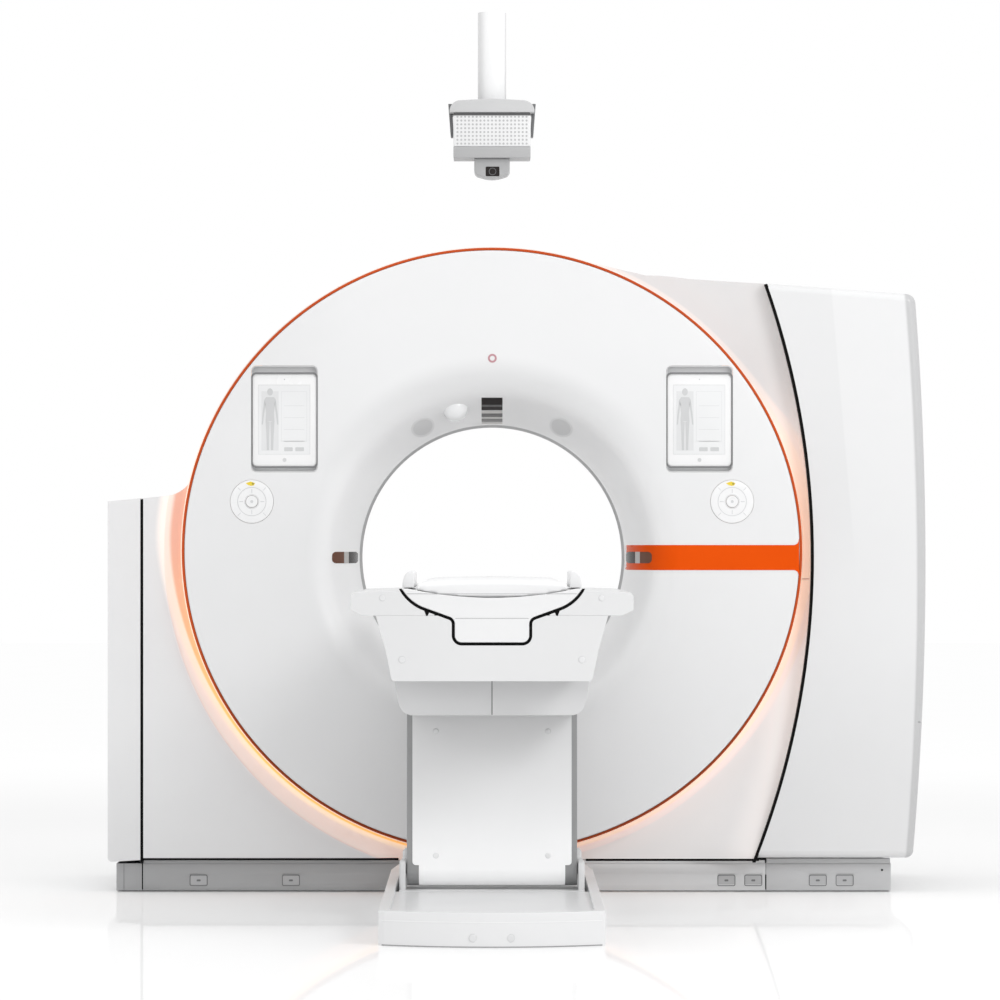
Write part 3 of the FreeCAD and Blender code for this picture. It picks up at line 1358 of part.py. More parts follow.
chassis = Piece("table_chassis").pad("XY", "chassis_deck_bottom", "chassis_deck_top - chassis_deck_bottom",
                                     [rectangle(
    "-chassis_half_width", "-chassis_front", "chassis_half_width", "-chassis_back")])
for low_x in ("chassis_half_width - chassis_plate", "-chassis_half_width"):
    chassis.pad("YZ", low_x, "chassis_plate", [rectangle(
        "-chassis_front", "chassis_side_bottom", "-chassis_back", "chassis_deck_bottom")])
chassis.pad("YZ", "-chassis_half_width", "2 * chassis_half_width",
            circles=[(y, "leg_top_height", "pivot_shaft_radius") for y in LEGS.values()])
keep("table_chassis", chassis)

hood_side = [
    ("hood_half_width_bottom", "hood_bottom"),
    ("hood_half_width_top", "housing_bottom"),
]
hood_void = [
    ("hood_half_width_bottom - hood_wall", "hood_bottom - 1"),
    ("hood_half_width_top - hood_wall", "housing_bottom + 1"),
]
hood = Piece("leg_hood").pad("XZ", "-hood_front", "hood_front - hood_back", [hood_side + mirrored(hood_side)])
hood.pocket("XZ", "-hood_front + hood_wall", "hood_front", [hood_void + mirrored(hood_void)])
keep("leg_hood", hood)

rails = [rectangle(f"{x} - rail_half_width", "keel_bottom - channel_gap", f"{x} + rail_half_width",
                   "keel_bottom - rail_clearance") for x in ("-rail_side", "rail_side")]
keep("slide_rails",
     Piece("slide_rails").pad("XZ", "-housing_front + rail_inset", f"{housing_length} - 2 * rail_inset",
                                             rails))

# ---------------------------------------------------------------- tabletop and mattress

keep("tabletop", Piece("tabletop").pad("XZ", "-housing_front + end_cap_length",
     "housing_front - end_cap_length - tabletop_head", [tabletop_outline])
     .round("tabletop_end_round", lambda e: abs(e.BoundBox.YMin + number("tabletop_head")) < 0.01
            and e.BoundBox.ZMin > number("wing_join_z") - 1 and e.BoundBox.ZMax > number("wing_top") - 0.01
            and e.BoundBox.ZMin < number("wing_top") - 2
            and e.BoundBox.XLength < number("2 * keel_half_width")))
keep("tabletop_end_cap",
     Piece("tabletop_end_cap").pad("XZ", "-housing_front", "end_cap_length", [tabletop_outline]))

seat_round = "(cradle_round - mattress_gap)"
seat_low = "(wing_top - cradle_sag + cradle_round)"
seat_edge = f"({seat_low} - sqrt({seat_round}^2 - mattress_half_width^2))"
mattress_side = [
    ("mattress_half_width - mattress_draw",
     f"{seat_low} - sqrt({seat_round}^2 - (mattress_half_width - mattress_draw)^2)"),
    ("mattress_half_width", f"{seat_edge} + mattress_edge_height / 2", "mattress_side_round"),
    ("mattress_half_width - mattress_draw", f"{seat_edge} + mattress_edge_height", "mattress_side_round"),
]
crown_round = "(((mattress_half_width - mattress_draw)^2 + mattress_crown^2) / (2 * mattress_crown))"
mattress_left = mirrored(mattress_side)
mattress_outline = [(*mattress_side[0], seat_round)] + mattress_side[1:] + [(*mattress_left[0],
    crown_round)] + mattress_left[1:]
keep("mattress",
     Piece("mattress").pad("XZ", "-mattress_foot", "mattress_foot - mattress_head", [mattress_outline])
     .round("mattress_end_round", lambda e: e.BoundBox.YLength < 0.01
            and e.BoundBox.ZMin > number(seat_edge) + 6))

# ---------------------------------------------------------------- positioning camera under the ceiling

camera_y = "-camera_side_y"
pole = Piece("ceiling_pole").pad("XY", "yoke_top", "ceiling_height - yoke_top", circles=[
    (0, 0, "pole_radius")], centre=(0, camera_y))
pole.pocket("XY", "yoke_top + pole_end_plate", "ceiling_height - yoke_top - 2 * pole_end_plate", circles=[
    (0, 0, "pole_radius - pole_wall")], centre=(0, camera_y))
pole.pocket("XY", "ceiling_height - pole_end_plate", "pole_end_plate", circles=[
    (f"pole_bolt_circle * cos({a})", f"pole_bolt_circle * sin({a})", "pole_bolt_radius")
    for a in (45, 135, 225, 315)],
    centre=(0, camera_y))
keep("ceiling_pole", pole)
yoke = Piece("camera_yoke").pad("XY", "yoke_top - yoke_height", "yoke_height", [round_rectangle(
    "0", "0", "(2 * yoke_half_width)", "(2 * yoke_half_depth)", "camera_corner")], centre=(0, camera_y))
for low_x in ("yoke_half_width - yoke_plate", "-yoke_half_width"):
    yoke.pad("XY", "yoke_top - yoke_height - yoke_leg", "yoke_leg", [rectangle(
        low_x, "-yoke_leg_width / 2", f"{low_x} + yoke_plate", "yoke_leg_width / 2")], centre=(0, camera_y))
keep("camera_yoke", yoke)
housing = Piece("camera_housing").pad("XY", "camera_bottom", "camera_top - camera_bottom", [round_rectangle(
    "0", "0", "(2 * camera_half_width)", "(2 * camera_half_depth)", "camera_corner")], centre=(0, camera_y))
housing.pocket("XY", "camera_split + camera_wall", f"camera_top - camera_split - 2 * camera_wall",
               [round_rectangle(
    "0", "0", "(2 * (camera_half_width - camera_wall))", "(2 * (camera_half_depth - camera_wall))",
    "(camera_corner - camera_wall)")], centre=(0, camera_y))
housing.pad("XY", "camera_top", "yoke_top - yoke_height - camera_top", circles=[(0, 0, "camera_neck_radius")],
            centre=(0, camera_y))
housing.pad("YZ", "-(yoke_half_width - yoke_plate)", "2 * (yoke_half_width - yoke_plate)", circles=[
    (camera_y, "yoke_top - yoke_height - yoke_leg + yoke_leg_width / 2", "camera_pivot_radius")])
housing.pad("XY", "lens_bottom", "camera_bottom - lens_bottom", [round_rectangle(
    "0", "0", "(2 * lens_half_width)", "(2 * lens_half_depth)", "camera_corner")], centre=(0, camera_y))
housing.pocket("XY", "lens_bottom", "lens_recess", [round_rectangle(
    "0", "0", "lens_half_width", "lens_half_width", "lens_corner")], centre=(0, camera_y))
keep("camera_housing", housing)

# ---------------------------------------------------------------- checks and files

doc.recompute()
for thing in doc.Objects:
    if "Invalid" in thing.State or "Error" in thing.State:
        raise RuntimeError(f"{thing.Name} does not build: {thing.State}")
for node, thing in NODES.items():
    if thing.Shape.isNull() or not thing.Shape.isValid():
        raise RuntimeError(f"{node} has no sound shape")
os.makedirs("parts", exist_ok=True)
for node, thing in NODES.items():
    thing.Shape.exportStep(f"parts/{node}.step")
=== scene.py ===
import json
import math

import bmesh
import bpy
from mathutils import Matrix, Vector

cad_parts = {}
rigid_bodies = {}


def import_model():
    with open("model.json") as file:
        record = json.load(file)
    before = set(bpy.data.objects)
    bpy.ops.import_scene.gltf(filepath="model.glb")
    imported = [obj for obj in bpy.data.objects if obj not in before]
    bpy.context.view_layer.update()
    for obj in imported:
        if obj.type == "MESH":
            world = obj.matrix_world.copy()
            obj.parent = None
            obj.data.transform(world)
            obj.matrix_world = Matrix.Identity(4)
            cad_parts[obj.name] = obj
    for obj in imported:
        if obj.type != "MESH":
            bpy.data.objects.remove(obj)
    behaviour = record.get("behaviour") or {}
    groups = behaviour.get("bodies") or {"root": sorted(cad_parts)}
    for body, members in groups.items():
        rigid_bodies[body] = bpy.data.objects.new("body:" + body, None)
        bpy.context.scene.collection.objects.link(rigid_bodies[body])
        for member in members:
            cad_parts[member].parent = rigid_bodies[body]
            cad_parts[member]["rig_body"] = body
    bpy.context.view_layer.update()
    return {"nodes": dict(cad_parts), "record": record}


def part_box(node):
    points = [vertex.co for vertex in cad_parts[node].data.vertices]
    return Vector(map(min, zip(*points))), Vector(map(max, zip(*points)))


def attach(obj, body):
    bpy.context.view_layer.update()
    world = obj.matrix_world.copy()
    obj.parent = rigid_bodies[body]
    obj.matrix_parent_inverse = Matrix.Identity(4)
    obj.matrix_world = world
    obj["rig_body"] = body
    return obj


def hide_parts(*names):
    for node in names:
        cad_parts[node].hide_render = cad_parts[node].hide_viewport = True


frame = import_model()
NODES = frame["nodes"]
SIDES = ((-1, "left"), (1, "right"))

# ---- main places and sizes, in metres

BORE, BORE_R = 1.020, 0.410                         # height and radius of the patient bore
RING_X, RING_Z, RING_MIDDLE = 0.942, 0.921, 1.040   # half width, half height and middle of the oval ring
OVAL_DROP = RING_X - RING_Z                         # by which every oval is less high than wide
FACE_Y, FACE_X = -0.470, 0.934                      # plane and half width of the round face
FLARE_R = 0.570                                     # where the face turns into the flare
SEAM_X, SEAM_R, SEAM_GAP = -1.522, 2.498, 0.0034    # middle and radius of the curved seam, half its width
BODY_LOW, BODY_BACK = 0.0975, 0.440                 # lower edge and back of the covers
LEFT_FRONT, RIGHT_FRONT = -0.400, -0.440            # planes of the covers' fronts
LEFT_TOP, RIGHT_TOP = 1.2010, 1.855
PLINTH_FACE = -0.3784
DOCK_X, DOCK_Z, TABLET_Z = 0.630, 1.441, 1.437
DIAL_X, DIAL_Z = 0.729, 1.190
BOARD_END = -2.590                                  # the table's end
POLE_Y = -1.5                                       # the ceiling pole

# ---- camera, air and lamps

camera_data = bpy.data.cameras.new("photo_camera")
camera = bpy.data.objects.new("photo_camera", camera_data)
bpy.context.scene.collection.objects.link(camera)
camera.location = (0, -15.47, 1.043)
camera.rotation_euler = (math.radians(90), 0, 0)
camera_data.sensor_width, camera_data.lens = 36, 177.9
camera_data.shift_x, camera_data.shift_y = 0.008, 0.050
camera_data.clip_end = 100
bpy.context.scene.camera = camera
bpy.context.scene.view_settings.view_transform = "Standard"


def light_path_strength(tree, plain, seen):
    """A strength of one value by sight, in mirrors and through glass, and of another where it lights things."""
    path = tree.nodes.new("ShaderNodeLightPath")
    total = path.outputs["Is Camera Ray"]
    for ray in ("Is Glossy Ray", "Is Transmission Ray"):
        add = tree.nodes.new("ShaderNodeMath")
        add.operation = "MAXIMUM"
        tree.links.new(total, add.inputs[0])
        tree.links.new(path.outputs[ray], add.inputs[1])
        total = add.outputs[0]
    choose = tree.nodes.new("ShaderNodeMapRange")
    choose.inputs["To Min"].default_value = plain
    choose.inputs["To Max"].default_value = seen
    tree.links.new(total, choose.inputs["Value"])
    return choose.outputs["Result"]


world = bpy.data.worlds.new("studio_air")
bpy.context.scene.world = world
world.use_nodes = True
air = world.node_tree.nodes["Background"]
air.inputs["Color"].default_value = (1, 1, 1, 1)
world.node_tree.links.new(light_path_strength(world.node_tree, 0.88, 1.0), air.inputs["Strength"])


def soft_lamp(name, place, target, width, height, power):
    """A large area lamp that faces a point."""
    data = bpy.data.lights.new(name, "AREA")
    data.shape = "RECTANGLE"
    data.size, data.size_y = width, height
    data.energy = power
    lamp = bpy.data.objects.new(name, data)
    bpy.context.scene.collection.objects.link(lamp)
    lamp.location = place
    lamp.rotation_euler = (Vector(target) - Vector(place)).to_track_quat("-Z", "Y").to_euler()


soft_lamp("overhead_lamp", (-0.6, -1.8, 6.0), (0, -0.6, 0.9), 6.0, 4.0, 54)
soft_lamp("left_lamp", (-6.0, -5.0, 3.2), (0, -0.4, 1.0), 3.0, 3.5, 14)
soft_lamp("right_lamp", (4.5, -6.5, 4.5), (0, -0.4, 0.9), 2.6, 2.6, 140)

# ---- finishes

FINISHES = {}


class Finish:
    """A finish whose colour, roughness and grain come from noise in the piece's Object coordinates."""

    def __init__(self, name, colour, roughness, metallic=0.0, coat=0.0, specular=0.5):
        self.material = bpy.data.materials.new(name)
        self.material.use_nodes = True
        self.material.diffuse_color = (*colour, 1)
        self.tree = self.material.node_tree
        self.shader = self.tree.nodes["Principled BSDF"]
        self.colour = colour
        for socket, value in (("Base Color", colour), ("Roughness", roughness), ("Metallic", metallic),
                              ("Specular IOR Level", specular), ("Coat Weight", coat), ("Coat Roughness", 0.12)):
            self.feed(socket, value)
        FINISHES[name] = self

    def give(self, value, socket):
        """Links a socket to another, or sets it to a colour or a number."""
        if isinstance(value, bpy.types.NodeSocket):
            self.tree.links.new(value, socket)
        else:
            socket.default_value = (*value, 1) if isinstance(value, tuple) else value

    def feed(self, name, value):
        self.give(value, self.shader.inputs[name])

    def node(self, kind, **settings):
        made = self.tree.nodes.new(f"ShaderNode{kind}")
        for key, value in settings.items():
            setattr(made, key, value)
        return made

    def place(self, stretch=(1, 1, 1)):
        """The piece's Object coordinates, stretched."""
        mapping = self.node("Mapping")
        mapping.inputs["Scale"].default_value = stretch
        self.give(self.node("TexCoord").outputs["Object"], mapping.inputs["Vector"])
        return mapping.outputs["Vector"]

    def axes(self):
        """The piece's Object coordinates, one socket for each axis."""
        parts = self.node("SeparateXYZ")
        self.give(self.place(), parts.inputs[0])
        return parts.outputs

    def noise(self, scale, detail, stretch):
        noise = self.node("TexNoise")
        noise.inputs["Scale"].default_value = scale
        noise.inputs["Detail"].default_value = detail
        self.give(self.place(stretch), noise.inputs["Vector"])
        return noise.outputs["Fac"]

    def span(self, value, low, high, to_low=0.0, to_high=1.0):
        """Maps a range onto another in a straight line."""
        span = self.node("MapRange")
        for key, number in (("From Min", low), ("From Max", high), ("To Min", to_low), ("To Max", to_high)):
            span.inputs[key].default_value = number
        self.give(value, span.inputs["Value"])
        return span.outputs["Result"]

    def ease(self, *values):
        """Maps a range onto another with soft ends."""
        eased = self.span(*values)
        eased.node.interpolation_type = "SMOOTHSTEP"
        return eased

    def math(self, operation, first, *others):
        """Works through the values from left to right."""
        for other in others:
            node = self.node("Math", operation=operation)
            self.give(first, node.inputs[0])
            self.give(other, node.inputs[1])
            first = node.outputs[0]
        return first

    def times(self, *values):
        return self.math("MULTIPLY", *values)

    def add(self, *values):
        return self.math("ADD", *values)

    def less(self, value, taken):
        return self.math("SUBTRACT", value, taken)

    def radius(self, x, z):
        """The length of two places across each other."""
        root = self.node("Math", operation="SQRT")
        self.give(self.add(self.times(x, x), self.times(z, z)), root.inputs[0])
        return root.outputs[0]

    def blend(self, factor, first, second):
        """Mixes two colours or sockets by a factor."""
        mix = self.node("Mix", data_type="RGBA")
        for value, socket in ((factor, mix.inputs[0]), (first, mix.inputs[6]), (second, mix.inputs[7])):
            self.give(value, socket)
        return mix.outputs[2]

    def paint(self, factor, first, second):
        """Gives the finish a blend as its colour."""
        self.painted = self.blend(factor, first, second)
        self.feed("Base Color", self.painted)

    def coat(self, colour, tone_scale, roughness, wear_scale, grain, depth, stretch=(1, 1, 1)):
        """Drifting tone, a roughness that wanders as on wiped surfaces, and a fine moulded or brushed grain."""
        self.paint(self.span(self.noise(tone_scale, 4.0, stretch), 0.35, 0.65), self.colour, colour)
        self.feed("Roughness", self.span(self.noise(wear_scale, 5.0, stretch), 0.3, 0.7, *roughness))
        bump = self.node("Bump")
        bump.inputs["Strength"].default_value = 0.4
        bump.inputs["Distance"].default_value = depth
        self.give(self.noise(grain, 2.0, stretch), bump.inputs["Height"])
        self.feed("Normal", bump.outputs["Normal"])
        return self


def moulded(name, colour, shade, roughness=(0.30, 0.42), grain=900, depth=0.00012, coat=0.0, specular=0.5):
    """A painted or moulded plastic."""
    finish = Finish(name, colour, roughness[0], coat=coat, specular=specular)
    return finish.coat(shade, 1.7, roughness, 3.5, grain, depth)


def metal(name, colour, shade, roughness=(0.25, 0.42), stretch=(1, 1, 1)):
    """A turned, brushed or cast metal."""
    finish = Finish(name, colour, roughness[0], metallic=1.0)
    return finish.coat(shade, 3.0, roughness, 22, 420, 0.00015, stretch)


def grey(level, blue=0.006):
    """A grey with a trace of blue, from its level."""
    return level, level + 0.002, level + blue


def greyish(name, level, shade, *values, blue=0.006, **settings):
    """A painted or moulded plastic of one grey that drifts to another."""
    return moulded(name, grey(level, blue), grey(shade, blue), *values, **settings)


def cover_plastic(name):
    return moulded(name, grey(0.79), grey(0.77, 0.007), coat=0.15)


def named_colour(name, colour, roughness=0.45, specular=0.5):
    """A small moulded or printed detail of one colour, or of one grey where only its level is given."""
    if name not in FINISHES:
        colour = grey(colour) if isinstance(colour, float) else colour
        moulded(name, colour, tuple(0.9 * c for c in colour), (roughness, roughness + 0.1), 1600, 0.00005,
                specular=specular)
    return name


DULL = 0.06
# tones towards which shade is painted into finishes
SHADE_TONE = (0.30, 0.30, 0.305)
SOFT_SHADE_TONE = (0.40, 0.40, 0.405)
PAINTED = (0.45, 0.6), 1500, 0.0002

cover_plastic("white_cover")
moulded("orange_inlay", (0.80, 0.086, 0.0015), (0.75, 0.076, 0.0012), (0.25, 0.35), specular=DULL)
moulded("dark_window", (0.020, 0.018, 0.018), (0.035, 0.031, 0.030), (0.08, 0.16), depth=0.00002, specular=DULL)
moulded("seam_rubber", (0.004, 0.004, 0.004), (0.007, 0.007, 0.007), (0.6, 0.75), 1400, 0.0002, specular=DULL)
moulded("frame_steel", (0.11, 0.12, 0.13), (0.09, 0.10, 0.11), (0.45, 0.6), 700, 0.0003)
moulded("brush_plastic", (0.03, 0.03, 0.033), (0.05, 0.05, 0.052), (0.5, 0.62))
moulded("tube_housing", (0.36, 0.38, 0.41), (0.31, 0.33, 0.36), (0.4, 0.55), 600, 0.0003)
moulded("unit_case", (0.46, 0.48, 0.50), (0.42, 0.44, 0.46), (0.35, 0.5))
moulded("tablet_case", (0.88, 0.88, 0.882), (0.86, 0.86, 0.862), (0.22, 0.3), coat=0.3)
moulded("dome_plastic", (0.80, 0.805, 0.81), (0.77, 0.775, 0.785), (0.12, 0.2), coat=0.5)
greyish("grey_plinth", 0.43, 0.40, *PAINTED, blue=0.007)
# a paler copy of the plinth grey: painted light on the side of the right lamp
greyish("plinth_pale", 0.555, 0.525, *PAINTED, blue=0.007)
greyish("dock_plastic", 0.64, 0.60, (0.4, 0.5), blue=0.008)
moulded("dial_plastic", grey(0.865, 0.005), grey(0.84), (0.3, 0.4))
greyish("grille_grey", 0.62, 0.57, (0.5, 0.6))
greyish("bore_grey", 0.42, 0.40, (0.5, 0.6))
greyish("leg_paint", 0.33, 0.30, (0.42, 0.55), 800, 0.0003, blue=0.005)
greyish("table_white", 0.725, 0.70, coat=0.15)
greyish("tabletop_shell", 0.700, 0.682, (0.28, 0.38), coat=0.15)
greyish("camera_white", 0.78, 0.75, (0.35, 0.45))
greyish("mattress_cover", 0.87, 0.85, (0.5, 0.62), 700, 0.0003)
metal("bearing_steel", (0.56, 0.57, 0.58), (0.48, 0.49, 0.5))
metal("motor_winding", (0.58, 0.27, 0.12), (0.45, 0.19, 0.08), stretch=(1, 12, 1))
metal("motor_magnets", (0.42, 0.42, 0.44), (0.34, 0.34, 0.36))
metal("slip_ring_metal", (0.72, 0.53, 0.26), (0.62, 0.44, 0.2), (0.18, 0.3))
metal("rotor_aluminium", (0.66, 0.67, 0.69), (0.58, 0.59, 0.61), (0.3, 0.5))
metal("rail_steel", (0.6, 0.61, 0.62), (0.52, 0.53, 0.54), stretch=(8, 0.4, 8))

# the frosted light guide behind the rim of the round face
ring_light = moulded("ring_light", (0.9, 0.62, 0.36), (0.86, 0.55, 0.3), (0.5, 0.6))
ring_light.feed("Emission Color", (1.0, 0.42, 0.12))
ring_light.feed("Emission Strength", 1.2)


def seam_nearness(finish, x, z, apart):
    """How near a place is to the curved seam, most where the tower stands proudest of the cover; it weights the
    painted light that lifts the tower's shadow off the right cover.
    """
    inside = finish.less(SEAM_R, finish.radius(finish.less(x, SEAM_X), finish.less(z, BORE)))
    return finish.times(finish.ease(inside, 0.0, 0.120, 1.0, 0.25), finish.span(apart, 0.0, 0.27, 1.0, 0.45))


def lit_cover_finish(name, narrowing, inner, outer, near_shine, upper_shade):
    """Cover plastic with the ring's light painted in as tint and glow, in an inner and an outer band, with
    painted shade high up by upper_shade and painted light that lifts the shade beside the tower on the right and
    in the hollow curve on the left.

    A band is its tint level with the bore and low down, then its glow at both. Heights and distances are in
    ring radii.
    """
    finish = cover_plastic(name)
    x, y, z = finish.axes()
    height = finish.math("DIVIDE", finish.less(z, RING_MIDDLE), RING_Z)
    apart = finish.less(finish.radius(finish.math("DIVIDE", x, RING_X), height), 1.0)
    front = finish.span(y, -0.30, -0.36)
    low = finish.ease(height, 0.10, -0.75)
    shown = finish.times(front, finish.ease(height, 0.15, 0.65, 1.0, 0.25))
    stretch = finish.add(finish.times(low, narrowing), finish.ease(height, 0.30, 0.75, 0.0, 3.0), 1.0)
    stretched = finish.times(apart, stretch)
    second = finish.ease(stretched, 0.036, 0.052)
    lit = finish.times(finish.ease(stretched, 0.066, 0.100, 1.0, 0.0), shown)
    far = finish.times(finish.ease(apart, 0.0, 0.115, 0.5, 0.0), shown)
    tint, glow = [finish.blend(second, *[finish.blend(low, band[i], band[i + 1]) for band in (inner, outer)])
                  for i in (0, 2)]
    dim = finish.times(finish.ease(height, 0.10, 0.50, 0.0, upper_shade), front)
    painted = finish.blend(dim, finish.painted, SOFT_SHADE_TONE)
    shine = finish.blend(far, (0, 0, 0), (0.12, 0.05, 0.035))
    if name == "lit_right":
        near = finish.times(seam_nearness(finish, x, z, apart), finish.ease(height, 0.25, 0.65, 1.0, 0.30))
    else:
        cove = finish.radius(x, finish.less(z, RING_MIDDLE))
        near = finish.times(finish.ease(cove, 0.990, 1.006, 1.0, 0.0), front)
    finish.paint(lit, finish.blend(near, painted, (0.97, 0.93, 0.91)), tint)
    finish.feed("Emission Color", finish.blend(lit, finish.blend(near, shine, near_shine), glow))
    finish.feed("Emission Strength", 1.0)


# the ring's glow and the covers' shade, painted into the colour and emission of the left and right covers and of
# the drum
lit_cover_finish("lit_left", 1.7,
                 ((0.90, 0.55, 0.44), (0.98, 0.66, 0.24), (0.11, 0.055, 0.040), (0.40, 0.14, 0.01)),
                 ((0.95, 0.90, 0.84), (0.98, 0.90, 0.78), (0.18, 0.14, 0.12), (0.34, 0.23, 0.14)),
                 (0.150, 0.095, 0.080), 0.0)
lit_cover_finish("lit_right", 1.2,
                 ((0.95, 0.80, 0.70), (0.97, 0.80, 0.68), (0.36, 0.22, 0.16), (0.26, 0.15, 0.11)),
                 ((0.95, 0.86, 0.80), (0.94, 0.84, 0.81), (0.28, 0.17, 0.13), (0.16, 0.10, 0.09)),
                 (0.26, 0.225, 0.21), 0.22)


def shade_along(finish, axis, low, high, to_low, to_high, tone=SHADE_TONE):
    """Paints a finish's shade and light along an axis: blends it towards another tone between two places, as a
    studio shades a side.
    """
    finish.paint(finish.ease(finish.axes()[axis], low, high, to_low, to_high), finish.painted, tone)
    return finish


# painted light and shade: the leg's panel is painted darker under the table and given a painted glow of the
# light from the floor near its bottom, and the hood is painted darker towards its top
panel = shade_along(greyish("panel_white", 0.93, 0.91, blue=0.005, coat=0.15), "Z", 0.14, 0.64, 0.0, 0.34)
panel.feed("Emission Strength", panel.ease(panel.axes()["Z"], 0.08, 0.36, 0.13, 0.0))
panel.feed("Emission Color", (1, 1, 1))
shade_along(greyish("hood_white", 0.72, 0.70, coat=0.15), "Z", 0.590, 0.690, 0.0, 0.30)
# painted light makes the plinth's front paler on the side of the right lamp, and painted shade makes the ring's
# red darker towards the floor
shade_along(greyish("plinth_front", 0.43, 0.40, *PAINTED), "X", -0.25, 0.40, 0.0, 1.0, grey(0.63))
red_trim = moulded("red_trim", (0.56, 0.088, 0.020), (0.50, 0.075, 0.018), (0.25, 0.3), specular=DULL)
shade_along(red_trim, "Z", 0.95, 0.35, 0.0, 0.60, (0.16, 0.035, 0.014))


def tower_finish():
    """Cover plastic of the tower with painted shade: dark along its bowed side, less so low down and inside a
    faint crease.
    """
    finish = cover_plastic("tower_white")
    x, _, z = finish.axes()
    rise = finish.less(z, 0.944)
    side = finish.add(x, finish.times(rise, rise, 0.049))
    crease = finish.add(x, finish.times(z, 0.0875))
    inside = finish.times(finish.span(crease, 1.190, 1.196, 0.07, 0.0), finish.ease(z, 0.9, 1.3))
    for factor in (inside, finish.ease(z, 0.25, 0.90, 0.13, 0.04), finish.ease(side, 1.288, 1.298, 0.0, 0.50)):
        finish.paint(factor, finish.painted, SHADE_TONE)


def pole_finish():
    """White paint of the hanging pole, with painted shade that darkens it a little towards its two sides."""
    finish = greyish("pole_paint", 0.86, 0.84, (0.3, 0.4))
    x = finish.axes()["X"]
    sides = finish.add(finish.ease(x, -0.040, -0.014, 0.40, 0.0), finish.ease(x, 0.0345, 0.0375, 0.0, 0.42))
    finish.paint(sides, finish.painted, SOFT_SHADE_TONE)


def face_finish():
    """Cover plastic of the round face, with painted light that makes the flare's sides paler and painted shade
    that darkens its upper arch.
    """
    finish = cover_plastic("face_white")
    x, _, z = finish.axes()
    z = finish.less(z, BORE)
    radius = finish.radius(x, z)
    finish.paint(finish.times(finish.ease(radius, FLARE_R, 0.47), finish.ease(z, 0.15, 0.42, 1.0, 0.55)),
                 finish.painted, (0.93, 0.932, 0.935))
    finish.paint(finish.times(finish.ease(radius, 0.62, 0.55), finish.span(z, 0.25, 0.52, 0.0, 0.40)),
                 finish.painted, (0.55, 0.552, 0.556))


tower_finish()
pole_finish()
face_finish()

# ---- making pieces


def shape_to_object(name, bm):
    mesh = bpy.data.meshes.new(name)
    bm.to_mesh(mesh)
    bm.free()
    made = bpy.data.objects.new(name, mesh)
    bpy.context.scene.collection.objects.link(made)
    return made


def with_modifier(piece, kind, **settings):
    """Applies one modifier to a piece's mesh."""
    modifier = piece.modifiers.new(kind.lower(), kind)
    for key, value in settings.items():
        setattr(modifier, key, value)
    graph = bpy.context.evaluated_depsgraph_get()
    mesh = bpy.data.meshes.new_from_object(piece.evaluated_get(graph))
    piece.modifiers.clear()
    old = piece.data
    piece.data = mesh
    bpy.data.meshes.remove(old)
    return piece


def carve(piece, *cutters):
    """Cuts each cutter away from a piece and removes the cutters."""
    for cutter in cutters:
        with_modifier(piece, "BOOLEAN", object=cutter, operation="DIFFERENCE", solver="EXACT")
        data = cutter.data
        bpy.data.objects.remove(cutter)
        bpy.data.meshes.remove(data)
    return piece


def dress(piece, body, finish, replaced=(), sharp=32, bevel=0.0, turn=34):
    """Gives a piece its edge rounds, finish, smooth shading, body, slot and the nodes that it stands for."""
    if bevel:
        with_modifier(piece, "BEVEL", width=bevel, segments=3, limit_method="ANGLE",
                      angle_limit=math.radians(turn), miter_outer="MITER_ARC")
    piece.data.materials.clear()
    piece.data.materials.append(FINISHES[finish].material)
    piece.data.polygons.foreach_set("use_smooth", [True] * len(piece.data.polygons))
    piece.data.set_sharp_from_angle(angle=math.radians(sharp))
    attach(piece, body)
    if replaced:
        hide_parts(*replaced)
    return piece


def weighted(piece):
    """Broad flat faces keep one shade up to the rounds at their edges."""
    return with_modifier(piece, "WEIGHTED_NORMAL", mode="FACE_AREA", weight=80, keep_sharp=True)


def soft_copy(name, node, bevel, finish=None, sharp=32):
    """A finished copy of a node: its loose triangles merged, its flat sides made whole and its edges rounded."""
    bm = bmesh.new()
    bm.from_mesh(NODES[node].data)
    bmesh.ops.remove_doubles(bm, verts=bm.verts, dist=1e-5)
    bmesh.ops.dissolve_limit(bm, angle_limit=math.radians(0.6), verts=bm.verts, edges=bm.edges)
    slot = next(s["material_slot"] for s in frame["record"]["subparts"] if s["node"] == node)
    return dress(shape_to_object(name, bm), NODES[node]["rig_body"], finish or slot, [node], sharp, bevel)


def ring_loft(name, rings, closed=True, count=256):
    """A shell through ovals: each ring is (half width, half height, middle height, y)."""
    bm = bmesh.new()
    places = [Matrix.Translation((0, y, middle)) @ Matrix.Diagonal((half_x, 1, half_z, 1))
              for half_x, half_z, middle, y in rings + (rings[:1] if closed else [])]
    verts = bmesh.ops.create_circle(bm, segments=count, radius=1.0)["verts"]
    bmesh.ops.transform(bm, verts=verts, matrix=places[0] @ Matrix.Rotation(math.radians(90), 4, "X"))
    edges = bm.edges[:]
    if not closed:
        bmesh.ops.contextual_create(bm, geom=edges)
    for before, after in zip(places, places[1:]):
        grown = bmesh.ops.extrude_edge_only(bm, edges=edges)["geom"]
        edges = [g for g in grown if isinstance(g, bmesh.types.BMEdge)]
        verts = [g for g in grown if isinstance(g, bmesh.types.BMVert)]
        bmesh.ops.transform(bm, verts=verts, matrix=after @ before.inverted())
    if closed:
        bmesh.ops.remove_doubles(bm, verts=bm.verts, dist=1e-6)
    else:
        bmesh.ops.contextual_create(bm, geom=edges)
    bmesh.ops.recalc_face_normals(bm, faces=bm.faces)
    return shape_to_object(name, bm)


def ovals(*places):
    """Ovals about the round face's middle, from their half widths and depths."""
    return [(half, half - OVAL_DROP, RING_MIDDLE, y) for half, y in places]


